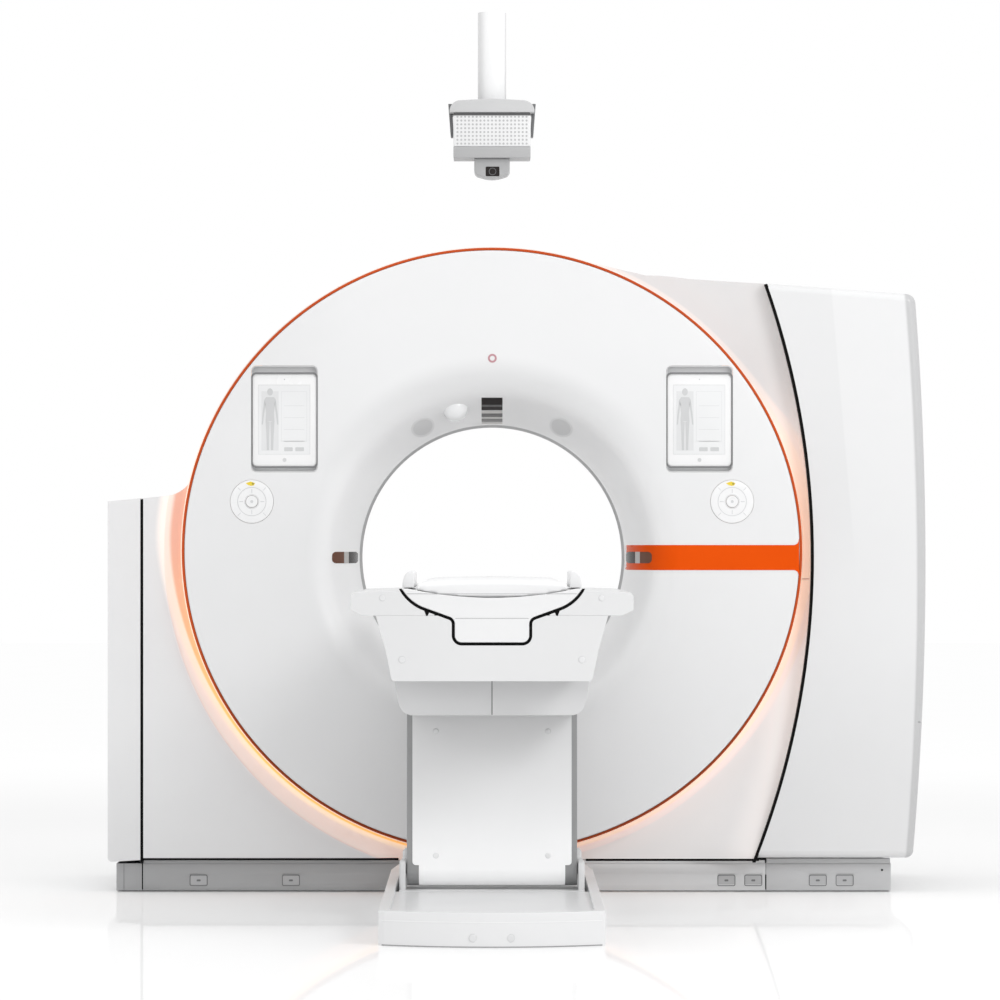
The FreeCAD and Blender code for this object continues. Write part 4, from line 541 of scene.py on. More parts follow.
def circles(*places, middle=BORE):
    """Circles about the bore's axis, or about another one, from their radii and depths."""
    return [(radius, radius, middle, y) for radius, y in places]


def soften(bm, size, segments, pick):
    """Rounds the edges of a solid that turn by more than 20 degrees and that pick chooses."""
    edges = [e for e in bm.edges if len(e.link_faces) == 2 and e.calc_face_angle() > math.radians(20)
             and (pick is None or pick(*[v.co for v in e.verts]))]
    bmesh.ops.bevel(bm, geom=edges, offset=size, segments=segments, profile=0.5, affect="EDGES", material=-1,
                    clamp_overlap=True)


def in_plane(axis, value, also=lambda p, q: True):
    """Picks the edges that lie in a plane across an axis and that the second rule picks too."""
    return lambda p, q: all(abs(getattr(v, axis) - value) < 1e-5 for v in (p, q)) and also(p, q)


def rim_of(axis):
    """Picks the edges round both ends of a solid along an axis."""
    return lambda p, q: abs(getattr(p, axis) - getattr(q, axis)) < 1e-6


def prism(name, points, low, high, axis="Y", round_edges=0.0, segments=4, pick=None):
    """A solid grown along an axis from an outline; pick chooses the edges that get a round."""
    order = {"Y": lambda a, b, c: (a, c, b), "Z": lambda a, b, c: (a, b, c)}[axis]
    bm = bmesh.new()
    face = bm.faces.new([bm.verts.new(order(a, b, low)) for a, b in points])
    grown = bmesh.ops.extrude_face_region(bm, geom=[face])["geom"]
    bmesh.ops.translate(bm, vec=Vector(order(0, 0, high - low)),
                        verts=[g for g in grown if isinstance(g, bmesh.types.BMVert)])
    bmesh.ops.recalc_face_normals(bm, faces=bm.faces)
    if round_edges:
        soften(bm, round_edges, segments, pick)
    return shape_to_object(name, bm)


def rectangle(low_a, low_b, high_a, high_b):
    return [(low_a, low_b), (high_a, low_b), (high_a, high_b), (low_a, high_b)]


def box(name, low, high, round_edges=0.0, segments=3):
    """A block between two corners."""
    return prism(name, rectangle(low[0], low[2], high[0], high[2]), low[1], high[1], "Y", round_edges, segments)


def arc(middle_a, middle_b, radius, start, end, count=12):
    """Points of an outline along an arc, in degrees."""
    turns = [math.radians(start + (end - start) * i / count) for i in range(count + 1)]
    return [(middle_a + radius * math.cos(turn), middle_b + radius * math.sin(turn)) for turn in turns]


def circle(a, b, radius, count):
    return arc(a, b, radius, 0, 360, count)[:-1]


def disc(name, x, z, radius, low, high, count=64, round_edges=0.0, segments=3):
    """A flat drum along Y."""
    return prism(name, circle(x, z, radius, count), low, high, "Y", round_edges, segments, rim_of("y"))


def rounded_outline(a, b, width, height, corner, count=8):
    """The outline of a rectangle with round corners about a point."""
    half_a, half_b = width / 2 - corner, height / 2 - corner
    points = []
    for i, (side_a, side_b) in enumerate(((1, 1), (-1, 1), (-1, -1), (1, -1))):
        points += arc(a + side_a * half_a, b + side_b * half_b, corner, 90 * i, 90 * i + 90, count)
    return points


def tilted_ellipse(x, z, half_length, half_width, degrees, count=48):
    """The outline of an ellipse turned about its middle."""
    cos, sin = math.cos(math.radians(degrees)), math.sin(math.radians(degrees))
    points = []
    for i in range(count):
        turn = 2 * math.pi * i / count
        u, v = half_length * math.cos(turn), half_width * math.sin(turn)
        points.append((x + u * cos - v * sin, z + u * sin + v * cos))
    return points


def sagged(start, end, radius, side, count=16):
    """Points of an arc between two points; side 1 bulges to the left of the way from start to end."""
    (ax, az), (bx, bz) = start, end
    length = math.hypot(bx - ax, bz - az)
    to_centre = side * math.sqrt(radius ** 2 - (length / 2) ** 2) / length
    cx, cz = (ax + bx) / 2 + (bz - az) * to_centre, (az + bz) / 2 - (bx - ax) * to_centre
    first, last = math.atan2(az - cz, ax - cx), math.atan2(bz - cz, bx - cx)
    sweep = (last - first + math.pi) % (2 * math.pi) - math.pi
    return arc(cx, cz, radius, math.degrees(first), math.degrees(first + sweep), count)


def mirrored(outline, side):
    return [(side * x, z) for x, z in outline]


def face_front(bm):
    """Turns the faces of an open sheet towards the front."""
    if sum(f.normal.y * f.calc_area() for f in bm.faces) > 0:
        bmesh.ops.reverse_faces(bm, faces=bm.faces[:])


def flat_detail(name, outline, front, finish, body="frame", thickness=0.0006):
    """A thin printed or moulded detail on a face that looks to the front."""
    return dress(prism(name, outline, front, front + thickness), body, finish)


def ring_strip(name, x, z, outer, inner, front, finish):
    """A thin flat ring that looks to the front."""
    ring = disc(name, x, z, outer, front, front + 0.0008, 96)
    carve(ring, disc("cut", x, z, inner, front - 1, front + 1, 96))
    return dress(ring, "frame", finish)


# ---- round face, flare and ring

LIP_ROUND, LIP_Y = 0.100, -0.370          # the flare's first bend, from the face inwards
CONE_R, CONE_X, CONE_Y = 0.46333, 0.87333, -0.170   # its second bend, down to the bore
BEND_R = 0.48651                          # where the two bends meet


def flare_y(radius):
    """Depth of the face and of the flare that leads into the bore, at a distance from the bore's axis."""
    if radius >= FLARE_R:
        return FACE_Y
    if radius > BEND_R:
        return LIP_Y - math.sqrt(max(LIP_ROUND ** 2 - (FLARE_R - radius) ** 2, 0))
    return CONE_Y - math.sqrt(max(CONE_R ** 2 - (CONE_X - radius) ** 2, 0))


def flare_rings(wall):
    """Circles of the flare from the lip down to the bore tube, moved into the wall by a thickness."""
    lip = arc(FLARE_R, LIP_Y, LIP_ROUND - wall, 270, 213.4, 8)
    cone = arc(CONE_X, CONE_Y, CONE_R - wall, 213.4, 180, 16)[1:]
    return circles(*lip, *cone)


def face_cover(name, side):
    """The oval face with its rolled rim and its flare, at the front (side 1) or the rear (side -1)."""
    rim = arc(FACE_X - 0.006, -0.464, 0.006, 360, 270, 6)[1:]
    rings = (ovals((FACE_X, -0.400), (FACE_X, -0.462), *rim) + flare_rings(0.0) + flare_rings(0.005)[::-1][:-1]
             + circles((0.575, -0.465)) + ovals((0.922, -0.465), (0.929, -0.458), (0.929, -0.400)))
    return ring_loft(name, [(a, b, c, side * y) for a, b, c, y in rings])


front_face = face_cover("front_face", 1)
for side, word in SIDES:
    hole = rounded_outline(side * DOCK_X, DOCK_Z, 0.2018, 0.3238, 0.0164)
    carve(front_face, prism("hole", hole, -0.50, -0.44),
          disc("hole", side * DIAL_X, DIAL_Z, 0.0664, -0.50, -0.44))
dress(front_face, "frame", "face_white", ["front_cover"], sharp=28)
dress(face_cover("rear_face", -1), "frame", "white_cover", replaced=["rear_cover"], sharp=28)

dress(ring_loft("ring_trim", ovals((0.9345, -0.448), (0.9345, -0.4655), (0.9355, -0.467), (0.9405, -0.467),
                                   (0.942, -0.4655), (0.942, -0.449), (0.9405, -0.447), (0.936, -0.447))),
      "frame", "red_trim", replaced=["halo_ring"])
dress(ring_loft("light_guide", ovals((0.909, -0.3905), (0.909, -0.3985), (0.9105, -0.400), (0.9305, -0.400),
                                     (0.932, -0.3985), (0.932, -0.3905))),
      "frame", "ring_light", replaced=["halo_light"])
dress(ring_loft("drum_shell", ovals((0.944, -0.389), (0.946, -0.390), (0.948, -0.390), (0.950, -0.388),
                                    (0.950, 0.398), (0.948, 0.400), (0.944, 0.400))),
      "frame", "lit_right", ["drum_cover"])
# the sleeve's dark grey is painted shade: it stands in for the shade inside the bore
dress(ring_loft("bore_sleeve", circles((BORE_R, -0.1695), (BORE_R, 0.1695), (0.4105, 0.170), (0.4135, 0.170),
                                       (0.414, 0.1695), (0.414, -0.1695), (0.4135, -0.170), (0.4105, -0.170))),
      "frame", "bore_grey", ["bore_tube"])


def flare_patch(name, outline, finish, proud, replaced=()):
    """A thin inlay that follows the face and the flare, from its outline in the front view."""
    bm = bmesh.new()
    face = bm.faces.new([bm.verts.new((x, 0, z)) for x, z in outline])
    bmesh.ops.poke(bm, faces=[face])
    bmesh.ops.subdivide_edges(bm, edges=bm.edges[:], cuts=5, use_grid_fill=True)
    bmesh.ops.triangulate(bm, faces=bm.faces[:])
    for vert in bm.verts:
        vert.co.y = flare_y(math.hypot(vert.co.x, vert.co.z - BORE)) - proud
    bmesh.ops.recalc_face_normals(bm, faces=bm.faces)
    face_front(bm)
    piece = with_modifier(shape_to_object(name, bm), "SOLIDIFY", thickness=0.002 + proud, offset=-1)
    return dress(piece, "frame", finish, replaced, sharp=40)


def band_grid():
    """The orange inlay: a strip from the bore out to the ring that widens with round corners at its end."""
    start, end, half_height, corner, proud = 0.4105, 0.9325, 0.038, 0.018, 0.0012
    roll, roll_start = 0.006, 0.9280
    bm = bmesh.new()
    bmesh.ops.create_grid(bm, x_segments=200, y_segments=8, size=0.5)
    for vert in bm.verts:
        along, across = vert.co.x + 0.5, vert.co.y * 2
        x = start + (end - start) * (1 - (1 - along) ** 1.6)
        into = max(0.0, x - (end - corner))
        widen = corner - math.sqrt(max(corner ** 2 - into ** 2, 0))
        z = BORE + across * (half_height + widen)
        y = flare_y(math.hypot(x, z - BORE)) - proud
        if x > roll_start:
            y = FACE_Y - proud + roll - math.sqrt(max(roll ** 2 - (x - roll_start) ** 2, 0))
        vert.co = (x, y, z)
    bm.normal_update()
    face_front(bm)
    piece = with_modifier(shape_to_object("orange_inlay_strip", bm), "SOLIDIFY", thickness=0.002, offset=-1)
    return dress(piece, "frame", "orange_inlay", replaced=["orange_band"], sharp=40)


band_grid()

brown = named_colour("laser_brown", (0.17, 0.085, 0.06), 0.12, 0.1)
black = named_colour("laser_black", (0.03, 0.027, 0.027), 0.10, 0.1)
divider = named_colour("laser_divider", (0.55, 0.54, 0.53), 0.3, 0.1)
outer_end = arc(0.474, 1.0255, 0.012, 90, 0, 6) + arc(0.474, 1.0145, 0.012, 0, -90, 6)
inner_end = arc(0.421, 1.0295, 0.008, 90, 180, 5) + arc(0.421, 1.0105, 0.008, 180, 270, 5)
for side, word in SIDES:
    for part, outline, colour in (("outer_pane", [(0.452, 1.0375)] + outer_end + [(0.452, 1.0025)], brown),
                                  ("divider", rectangle(0.4385, 1.0025, 0.4515, 1.0375), divider),
                                  ("inner_pane", inner_end + [(0.438, 1.0025), (0.438, 1.0375)], black)):
        flare_patch(f"{word}_laser_{part}", mirrored(outline, side), colour, 0.0022,
                    ["laser_windows"] if word == "left" and part == "outer_pane" else ())

top_grey = named_colour("laser_grey", (0.13, 0.13, 0.13), 0.2, 0.1)
for part, low, high, colour in (("pane", 1.470, 1.506, black), ("streak", 1.480, 1.486, top_grey),
                                ("divider", 1.461, 1.4685, divider), ("upper_step", 1.451, 1.4605, top_grey),
                                ("middle_step", 1.446, 1.4505, divider),
                                ("lower_step", 1.437, 1.4455, top_grey),
                                ("lowest_step", 1.432, 1.4365, divider)):
    flare_patch(f"top_window_{part}", rectangle(-0.032, low, 0.032, high), colour,
                0.0020 if part == "streak" else 0.0016)

for side, word in SIDES:
    for part, length, width, colour, proud in (("rim", 0.037, 0.026, named_colour("speaker_rim", 0.72), 0.0014),
                                               ("mesh", 0.031, 0.021, "grille_grey", 0.0022)):
        flare_patch(f"{word}_speaker_{part}", tilted_ellipse(side * 0.211, 1.418, length, width, side * -28),
                    colour, proud,
                    ["speaker_grilles"] if word == "left" and part == "rim" else ())


def dome():
    """The clear little dome over a camera in the flare's upper part."""
    x, z, looks = -0.112, 1.472, Vector((0.16, -0.86, -0.45))
    bm = bmesh.new()
    bmesh.ops.create_uvsphere(bm, u_segments=64, v_segments=32, radius=0.038)
    bmesh.ops.scale(bm, vec=(1, 1, 0.72), verts=bm.verts)
    turn = Vector((0, 0, 1)).rotation_difference(looks).to_matrix()
    bmesh.ops.rotate(bm, verts=bm.verts, matrix=turn, cent=(0, 0, 0))
    bmesh.ops.translate(bm, vec=Vector((x, flare_y(math.hypot(x, z - BORE)) + 0.004, z)), verts=bm.verts)
    return dress(shape_to_object("camera_dome", bm), "frame", "dome_plastic", replaced=["sensor_dome"])


dome()

# ---- bodies beside the ring


def seam_arc(low, high, offset):
    """Points up the curved seam between the right cover and the tower, moved aside by an offset."""
    heights = [low + (high - low) * i / 40 for i in range(41)]
    return [(math.sqrt((SEAM_R + offset) ** 2 - (z - BORE) ** 2) + SEAM_X, z) for z in heights]


def cove_curve(reach, end, bend):
    """Depths and radii of the hollow curve between the ring and a body's front."""
    return sagged((-0.372, 0.935), (-reach - 0.001, end), bend, -1, 24)


def finish_body(piece, finish, node, coves=None):
    """Cuts a body out round the ring, and rounds and finishes it."""
    if coves:
        profile = cove_curve(*coves) + [(-coves[0] - 0.03, coves[1])]
        for rings in (ovals((0.9506, -0.6), (0.9506, 0.6)),
                      circles(*[(radius, y) for y, radius in profile], middle=RING_MIDDLE)):
            carve(piece, ring_loft("cut", rings, closed=False, count=384))
    dress(piece, "frame", finish, [node], sharp=34, bevel=0.0015, turn=40)
    return weighted(piece)


RIGHT_COVE = (0.440, 1.260, 0.620)
left_front = prism("left_body", [(-1.0635, BODY_LOW), (-0.00025, BODY_LOW), (-0.00025, BORE)]
                   + arc(-1.005, 1.307, 0.100, 0, -90, 16) + [(-1.0635, LEFT_TOP)], LEFT_FRONT, BODY_BACK)
finish_body(left_front, "lit_left", "left_front_cover", (0.400, 1.002, 0.200))

left_end = prism("left_end", [(-1.0725, BODY_LOW), (-1.0725, LEFT_TOP), (-1.172, 1.1910)]
                 + arc(-1.160, 0.104, 0.012, 180, 270, 8), LEFT_FRONT, BODY_BACK, "Y", 0.012, 5,
                 in_plane("y", LEFT_FRONT, lambda p, q: min(p.x, q.x) < -1.0726 and max(p.z, q.z) > 0.15))
finish_body(left_end, "white_cover", "left_end_cover")

right_front = prism("right_body", [(0.00025, BODY_LOW)] + seam_arc(BODY_LOW, RIGHT_TOP, -SEAM_GAP)
                    + sagged((0.600, 1.871), (0.470, 1.882), 0.850, -1)
                    + [(0.300, 1.921), (0.300, 1.430), (0.00025, BORE)], RIGHT_FRONT, BODY_BACK, "Y", 0.024, 5,
                    in_plane("y", RIGHT_FRONT, lambda p, q: min(p.z, q.z) > 1.85 and min(p.x, q.x) > 0.31))
finish_body(right_front, "lit_right", "right_front_cover", RIGHT_COVE)

tower = prism("tower", arc(1.2595, 0.1300, 0.0240, -90, -8, 8)
              + sagged((1.2835, 0.130), (1.290, 1.793), 10.2, -1, 40) + arc(1.260, 1.793, 0.030, 0, 90, 10)[1:]
              + seam_arc(0.1060, RIGHT_TOP, SEAM_GAP)[::-1], RIGHT_FRONT, BODY_BACK, "Y", 0.034, 8,
              in_plane("y", RIGHT_FRONT, lambda p, q: max(p.x, q.x) > 1.2 or min(p.z, q.z) > 1.82))
carve(tower, box("side_split", (1.296, -0.5, 0.5188), (1.40, 0.5, 0.5208)))
finish_body(tower, "tower_white", "tower_cover")

for word, low_x, high_x, top, finish in (("right", 0.8385, 1.2160, 0.1010, "plinth_pale"),
                                         ("front", -1.0640, 0.8335, 0.0955, "plinth_front")):
    sill = box(f"plinth_{word}_sill", (low_x, -0.3780, 0.0840), (high_x, -0.3500, top), 0.0010)
    dress(sill, "frame", finish)

soft_copy("left_seal", "left_seam", 0.001)
soft_copy("right_seal", "right_seam", 0.001, sharp=40)


def cover_joint():
    """The short level joint between the ring and the curved seam, over the hollow curve."""
    height, curve, front = 0.9546, cove_curve(*RIGHT_COVE), []
    for x in [0.946 + 0.003 * i for i in range(9)]:
        radius = math.hypot(x, height - RING_MIDDLE)
        (y0, r0), (y1, r1) = next(pair for pair in zip(curve, curve[1:]) if pair[0][1] <= radius <= pair[1][1])
        front.append((x, y0 + (y1 - y0) * (radius - r0) / (r1 - r0) - 0.0006))
    outline = front + [(x, y + 0.002) for x, y in front[::-1]]
    dress(prism("cover_joint", outline, 0.9538, 0.9555, "Z"), "frame", "seam_rubber")


cover_joint()

# dark strips along the lower edge of the body fronts, painted shade standing in for the shadow in the gap over
# the plinth
for word, low_x, high_x, front in (("left", -1.0635, -0.285, LEFT_FRONT), ("right", 0.285, 0.812, RIGHT_FRONT)):
    lip = box(f"{word}_plinth_shadow_strip", (low_x, front - 0.0006, BODY_LOW - 0.0005),
              (high_x, front + 0.0094, BODY_LOW + 0.0060), 0.0006, 2)
    dress(lip, "frame", "seam_rubber")

# ---- fittings of the round face

pale_line = named_colour("pale_line", (0.66, 0.665, 0.675))
screen_pale = named_colour("screen_pale", (0.84, 0.845, 0.85), 0.15)
screen_grey = named_colour("screen_grey", (0.62, 0.625, 0.63), 0.15)
screen_line = named_colour("screen_line", (0.76, 0.765, 0.77), 0.15)


def tablet(word, side):
    """A dock and its tablet, with a plain picture of a standing figure and empty panels."""
    x, glass = side * DOCK_X, -0.4653
    print_front = glass - 0.0002
    low_x, high_x, low_z, high_z = x - 0.080, x + 0.078, 1.333, 1.545

    def detail(part, outline, front=print_front, finish=screen_line):
        flat_detail(f"{word}_{part}", outline, front, finish)

    def line_frame(part, ax, az, bx, bz, width):
        outer = prism(f"{word}_{part}", rectangle(ax, az, bx, bz), print_front, print_front + 0.0005)
        carve(outer, prism("cut", rectangle(ax + width, az + width, bx - width, bz - width), -2, 0))
        dress(outer, "frame", screen_line)

    dock = prism(f"{word}_dock_tray", rounded_outline(x, DOCK_Z, 0.201, 0.323, 0.016), -0.4695, -0.442, "Y",
                 0.0012, 3, in_plane("y", -0.4695))
    carve(dock, prism("cut", rounded_outline(x, DOCK_Z, 0.196, 0.317, 0.0135), -0.50, -0.4535))
    dress(dock, "frame", "dock_plastic", replaced=[f"{word}_dock"], sharp=30)
    case = prism(f"{word}_tablet_case", rounded_outline(x, TABLET_Z, 0.195, 0.280, 0.013), -0.465, -0.454, "Y",
                 0.003, 5, in_plane("y", -0.465))
    dress(case, "frame", "tablet_case", replaced=[f"{word}_tablet"])
    detail("screen", rounded_outline((low_x + high_x) / 2, (low_z + high_z) / 2, high_x - low_x, high_z - low_z,
                                     0.003), glass, screen_pale)
    line_frame("screen_edge", low_x, low_z, high_x, high_z, 0.0016)
    detail("screen_column", rectangle(low_x + 0.010, low_z + 0.012, low_x + 0.062, high_z - 0.020))
    line_frame("screen_list", low_x + 0.070, low_z + 0.040, high_x - 0.010, high_z - 0.020, 0.0012)
    for i in range(4):
        row = 1.372 + 0.036 * i
        detail(f"screen_row_{i}", rectangle(low_x + 0.078, row, high_x - 0.018, row + 0.002))
    for i in range(2):
        detail(f"screen_key_{i}", rounded_outline(x + 0.012 + 0.034 * i, 1.349, 0.026, 0.012, 0.002, 3),
               finish=screen_grey)
    for part, outline in standing_figure().items():
        detail(f"figure_{part}", [(low_x + 0.036 + a, 1.440 + b) for a, b in outline], print_front - 0.0003,
               screen_grey)
    # a dark ring round the tablet, painted shade standing in for the shade in the narrow gap of the dock
    gap = prism(f"{word}_tablet_gap", rounded_outline(x, TABLET_Z, 0.2024, 0.2905, 0.015), -0.4702, -0.4690)
    carve(gap, prism("cut", rounded_outline(x, TABLET_Z, 0.1955, 0.2805, 0.0135), -0.5, -0.4))
    dress(gap, "frame", named_colour("gap_grey", 0.20))
    detail("home_key", circle(x, 1.3165, 0.006, 32), -0.4652, "dock_plastic")
    detail("tablet_eye", circle(x, 1.561, 0.002, 16), -0.4652, screen_grey)


def standing_figure():
    """Outlines of a plain standing person about its middle."""
    arm = [(0.0135, 0.045), (0.018, 0.015), (0.0215, -0.016), (0.0255, -0.016), (0.023, 0.015), (0.0175, 0.060)]
    leg = [(0.0008, -0.008), (0.0025, -0.050), (0.003, -0.094), (0.0095, -0.094), (0.011, -0.050),
           (0.0135, -0.005)]
    half_chest = [(0.012, 0.067), (0.017, 0.060), (0.012, 0.020), (0.0135, -0.006)]
    parts = {"head": tilted_ellipse(0, 0.083, 0.0085, 0.011, 0, 24),
             "chest": half_chest + mirrored(half_chest[::-1], -1)}
    for limb, outline in (("arm", arm), ("leg", leg)):
        parts.update({f"{word}_{limb}": mirrored(outline, side) for side, word in SIDES})
    return parts


def dial(word, side):
    """A round control plate with a groove, four marks and a push button on its own body."""
    x, z, print_front = side * DIAL_X, DIAL_Z, -0.4717
    plate = disc(f"{word}_dial_plate", x, z, 0.0655, -0.4715, -0.458, 96, 0.0015)
    carve(plate, disc("cut", x, z, 0.0192, -0.5, -0.4, 64))
    groove = disc("cut", x, z, 0.044, -0.5, -0.4705, 96)
    carve(groove, disc("cut", x, z, 0.042, -0.6, -0.3, 96))
    carve(plate, groove)
    dress(plate, "frame", "dial_plastic", replaced=[f"{word}_dial"], sharp=30)
    ring_strip(f"{word}_dial_line", x, z, 0.0438, 0.0422, -0.4712, pale_line)
    ring_strip(f"{word}_button_line", x, z, 0.0225, 0.0212, print_front, pale_line)
    for part, first, near, far, half in (("mark", 0, 0.026, 0.038, 0.0010), ("split", 45, 0.048, 0.060, 0.0008)):
        for turn in range(first, 360, 90):
            cos, sin = math.cos(math.radians(turn)), math.sin(math.radians(turn))
            outline = [(x + cos * r - sin * w, z + sin * r + cos * w)
                       for r, w in ((near, -half), (far, -half), (far, half), (near, half))]
            flat_detail(f"{word}_dial_{part}_{turn}", outline, print_front, pale_line)
    yellow = ((-0.019, 0.056), (-0.011, 0.050), (-0.002, 0.0475), (0.006, 0.049), (0.010, 0.056),
              (-0.003, 0.0610))
    flat_detail(f"{word}_dial_yellow_mark", [(x + a, z + b) for a, b in yellow], -0.4718,
                named_colour("yellow_mark", (0.86, 0.66, 0.05)))
    flat_detail(f"{word}_dial_olive_mark", circle(x + 0.003, z + 0.054, 0.0035, 20), -0.4722,
                named_colour("olive_mark", (0.42, 0.36, 0.05)))
    button = disc(f"{word}_push_button", x, z, 0.018, -0.4745, -0.4635, 64, 0.001)
    carve(button, disc("cut", x, z, 0.012, -0.5, -0.4738, 48))
    dress(button, f"{word}_button", "dial_plastic", replaced=[f"{word}_button"], sharp=30)
    flat_detail(f"{word}_button_mark", circle(x, z, 0.0045, 32), -0.4741, pale_line,
                f"{word}_button", 0.0004)


for side, word in SIDES:
    tablet(word, side)
    dial(word, side)
ring_strip("small_mauve_ring", 0.001, 1.625, 0.0134, 0.0075, -0.4706,
           named_colour("mauve_ring", (0.50, 0.26, 0.29)))

# ---- plinth

for node, finish in (("left", None), ("right", "plinth_pale"), ("front", "plinth_front"), ("rear", None)):
    soft_copy(f"plinth_{node}_panel", f"plinth_{node}", 0.0012, finish)
soft_copy("inner_base", "gantry_base_frame", 0.002)
window_edge = named_colour("window_edge", 0.19)
window_pane = named_colour("window_pane", grey(0.50, 0.008))
for name, x, width, top, colour in (("far_left", -1.1240, 0.0016, 0.0855, window_edge),
                                    ("left", -1.0675, 0.0034, 0.0855, "seam_rubber"),
                                    ("right", 0.8360, 0.0012, 0.0855, window_edge),
                                    ("right_slot", 0.8360, 0.0036, 0.0520, "seam_rubber")):
    flat_detail(f"plinth_split_{name}", rectangle(x - width / 2, 0.006, x + width / 2, top),
                PLINTH_FACE - (0.0002 if "slot" in name else 0), colour)
for i, x in enumerate((-0.896, -0.614, 0.716, 0.798, 0.995, 1.077)):
    z = 0.034
    inner = rounded_outline(x, z, 0.0500, 0.0300, 0.004)
    edge = prism(f"plinth_window_edge_{i}", rounded_outline(x, z, 0.0545, 0.0345, 0.006), -0.3790, -0.3765, "Y",
                 0.0004, 2)
    carve(edge, prism("cut", inner, -0.5, -0.2))
    dress(edge, "frame", window_edge)
    dress(prism(f"plinth_window_pane_{i}", inner, -0.3775, -0.3762), "frame", window_pane)
    flat_detail(f"plinth_window_key_{i}", rounded_outline(x, z, 0.012, 0.006, 0.002, 3), -0.3782, window_edge,
                thickness=0.001)
flat_detail("plinth_dot", circle(1.191, 0.0657, 0.0035, 24), PLINTH_FACE, "seam_rubber")

# ---- table foot

FOOT_TOP, FOOT_HALF, BOW_R, BOW_Y = 0.092, 0.300, 0.600, -1.920


def foot_piece():
    """The foot: a bowed front, a rolled top edge, a shallow deck and the bay of the leg bearings."""
    outline = ([(-0.275, -0.3785), (-FOOT_HALF, -0.760)] + arc(0, BOW_Y, BOW_R, 240, 300, 32)
               + [(FOOT_HALF, -0.760), (0.275, -0.3785)])
    foot = prism("foot_deck", outline, 0.0, FOOT_TOP, "Z", 0.040, 8,
                 lambda p, q: abs(p.z - q.z) > 0.05 and abs(abs(p.x) - FOOT_HALF) < 1e-4 and p.y < -2.3)
    bm = bmesh.new()
    bm.from_mesh(foot.data)
    soften(bm, 0.022, 8, in_plane("z", FOOT_TOP, lambda p, q: min(p.y, q.y) < -0.379))
    bm.to_mesh(foot.data)
    bm.free()
    carve(foot, prism("cut", rounded_outline(0, -1.525, 0.544, 1.770, 0.030), 0.082, 0.2, "Z"),
          prism("cut", rectangle(-0.272, -1.570, 0.272, -0.830), 0.040, 0.2, "Z"),
          *[prism("cut", circle(x, y, 0.009, 32), -0.1, 0.2, "Z") for x in (-0.2, 0.2) for y in (-2.28, -0.74)])
    dress(foot, "frame", "white_cover", replaced=["table_foot"], sharp=34, bevel=0.0025)
    return weighted(foot)


foot_piece()
# a dark line at the toe is a painted contact shadow, and a pale line along the rolled top edge a painted
# highlight
for name, low, high, finish in (("toe_shadow_line", 0.0008, 0.0034, named_colour("toe_grey", 0.34)),
                                ("rim_highlight_line", 0.0660, 0.0680, named_colour("rim_white", grey(0.93, 0.005)))):
    outline = arc(0, BOW_Y, BOW_R + 0.0006, 241, 299, 48) + arc(0, BOW_Y, BOW_R - 0.0040, 299, 241, 48)
    dress(prism(f"foot_{name}", outline, low, high, "Z"), "frame", finish)

CAP = named_colour("cap_white", grey(0.76, 0.008), 0.3), named_colour("cap_edge", grey(0.66, 0.008), 0.4)
# paler caps for the panel's lower screws: painted light from the floor, as on the panel
FLOOR_LIT_CAP = named_colour("low_cap_white", grey(0.93, 0.005), 0.3), named_colour("low_cap_edge", 0.86, 0.4)


def screw_cap(name, x, z, radius, front, body, tones=CAP):
    """A low domed plug over a screw."""
    edge = disc(f"{name}_edge", x, z, radius + 0.0012, front - 0.0004, front + 0.002, 40, 0.0003, 2)
    dress(edge, body, tones[1])
    cap = disc(name, x, z, radius, front - 0.0022, front + 0.002, 40, 0.0016, 4)
    dress(cap, body, tones[0], sharp=40)


for i, x in enumerate((-0.050, 0.049)):
    screw_cap(f"foot_cap_{i}", x, 0.0256, 0.010, -2.5178, "frame")

# ---- legs and table

soft_copy("leg_bearing_block", "leg_base", 0.0012, "table_white")
soft_copy("front_lift_leg", "front_leg", 0.0015)
soft_copy("rear_lift_leg", "rear_leg", 0.0015)
weighted(soft_copy("leg_panel", "front_leg_cover", 0.0008, "panel_white"))
for i, (x, z, tones) in enumerate(((-0.1586, 0.531, CAP), (0.1586, 0.531, CAP),
                                   (-0.1586, 0.179, FLOOR_LIT_CAP), (0.1586, 0.179, FLOOR_LIT_CAP))):
    screw_cap(f"leg_panel_screw_{i}", x, z, 0.007, -1.5020, "front_leg", tones)
soft_copy("chassis", "table_chassis", 0.001)
weighted(soft_copy("table_body", "table_housing", 0.002, "table_white"))
for side, word in SIDES:
    weighted(soft_copy(f"{word}_side_shelf", f"{word}_shelf", 0.003, "table_white"))


def lift_hood():
    """The hood over the legs, with its two lower corners rounded off and closed by a thin skin."""
    corner = [(0.2290, 0.5830), (0.2400, 0.5862), (0.2500, 0.5940), (0.2570, 0.6050), (0.2635, 0.6240)]
    beyond = [(0.35, 0.6240), (0.35, 0.55), (0.2290, 0.55)]
    inside = [(x - 0.004, z + 0.005) for x, z in corner[::-1]]
    hood = soft_copy("lift_hood", "leg_hood", 0.002, "hood_white")
    low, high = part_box("leg_hood")
    for side, word in SIDES:
        carve(hood, prism("cut", mirrored(corner + beyond, side), -3, 0))
        skin = prism(f"hood_{word}_corner", mirrored(corner + inside, side), low.y + 0.003, high.y - 0.003)
        dress(skin, "table", "hood_white")
    weighted(hood)


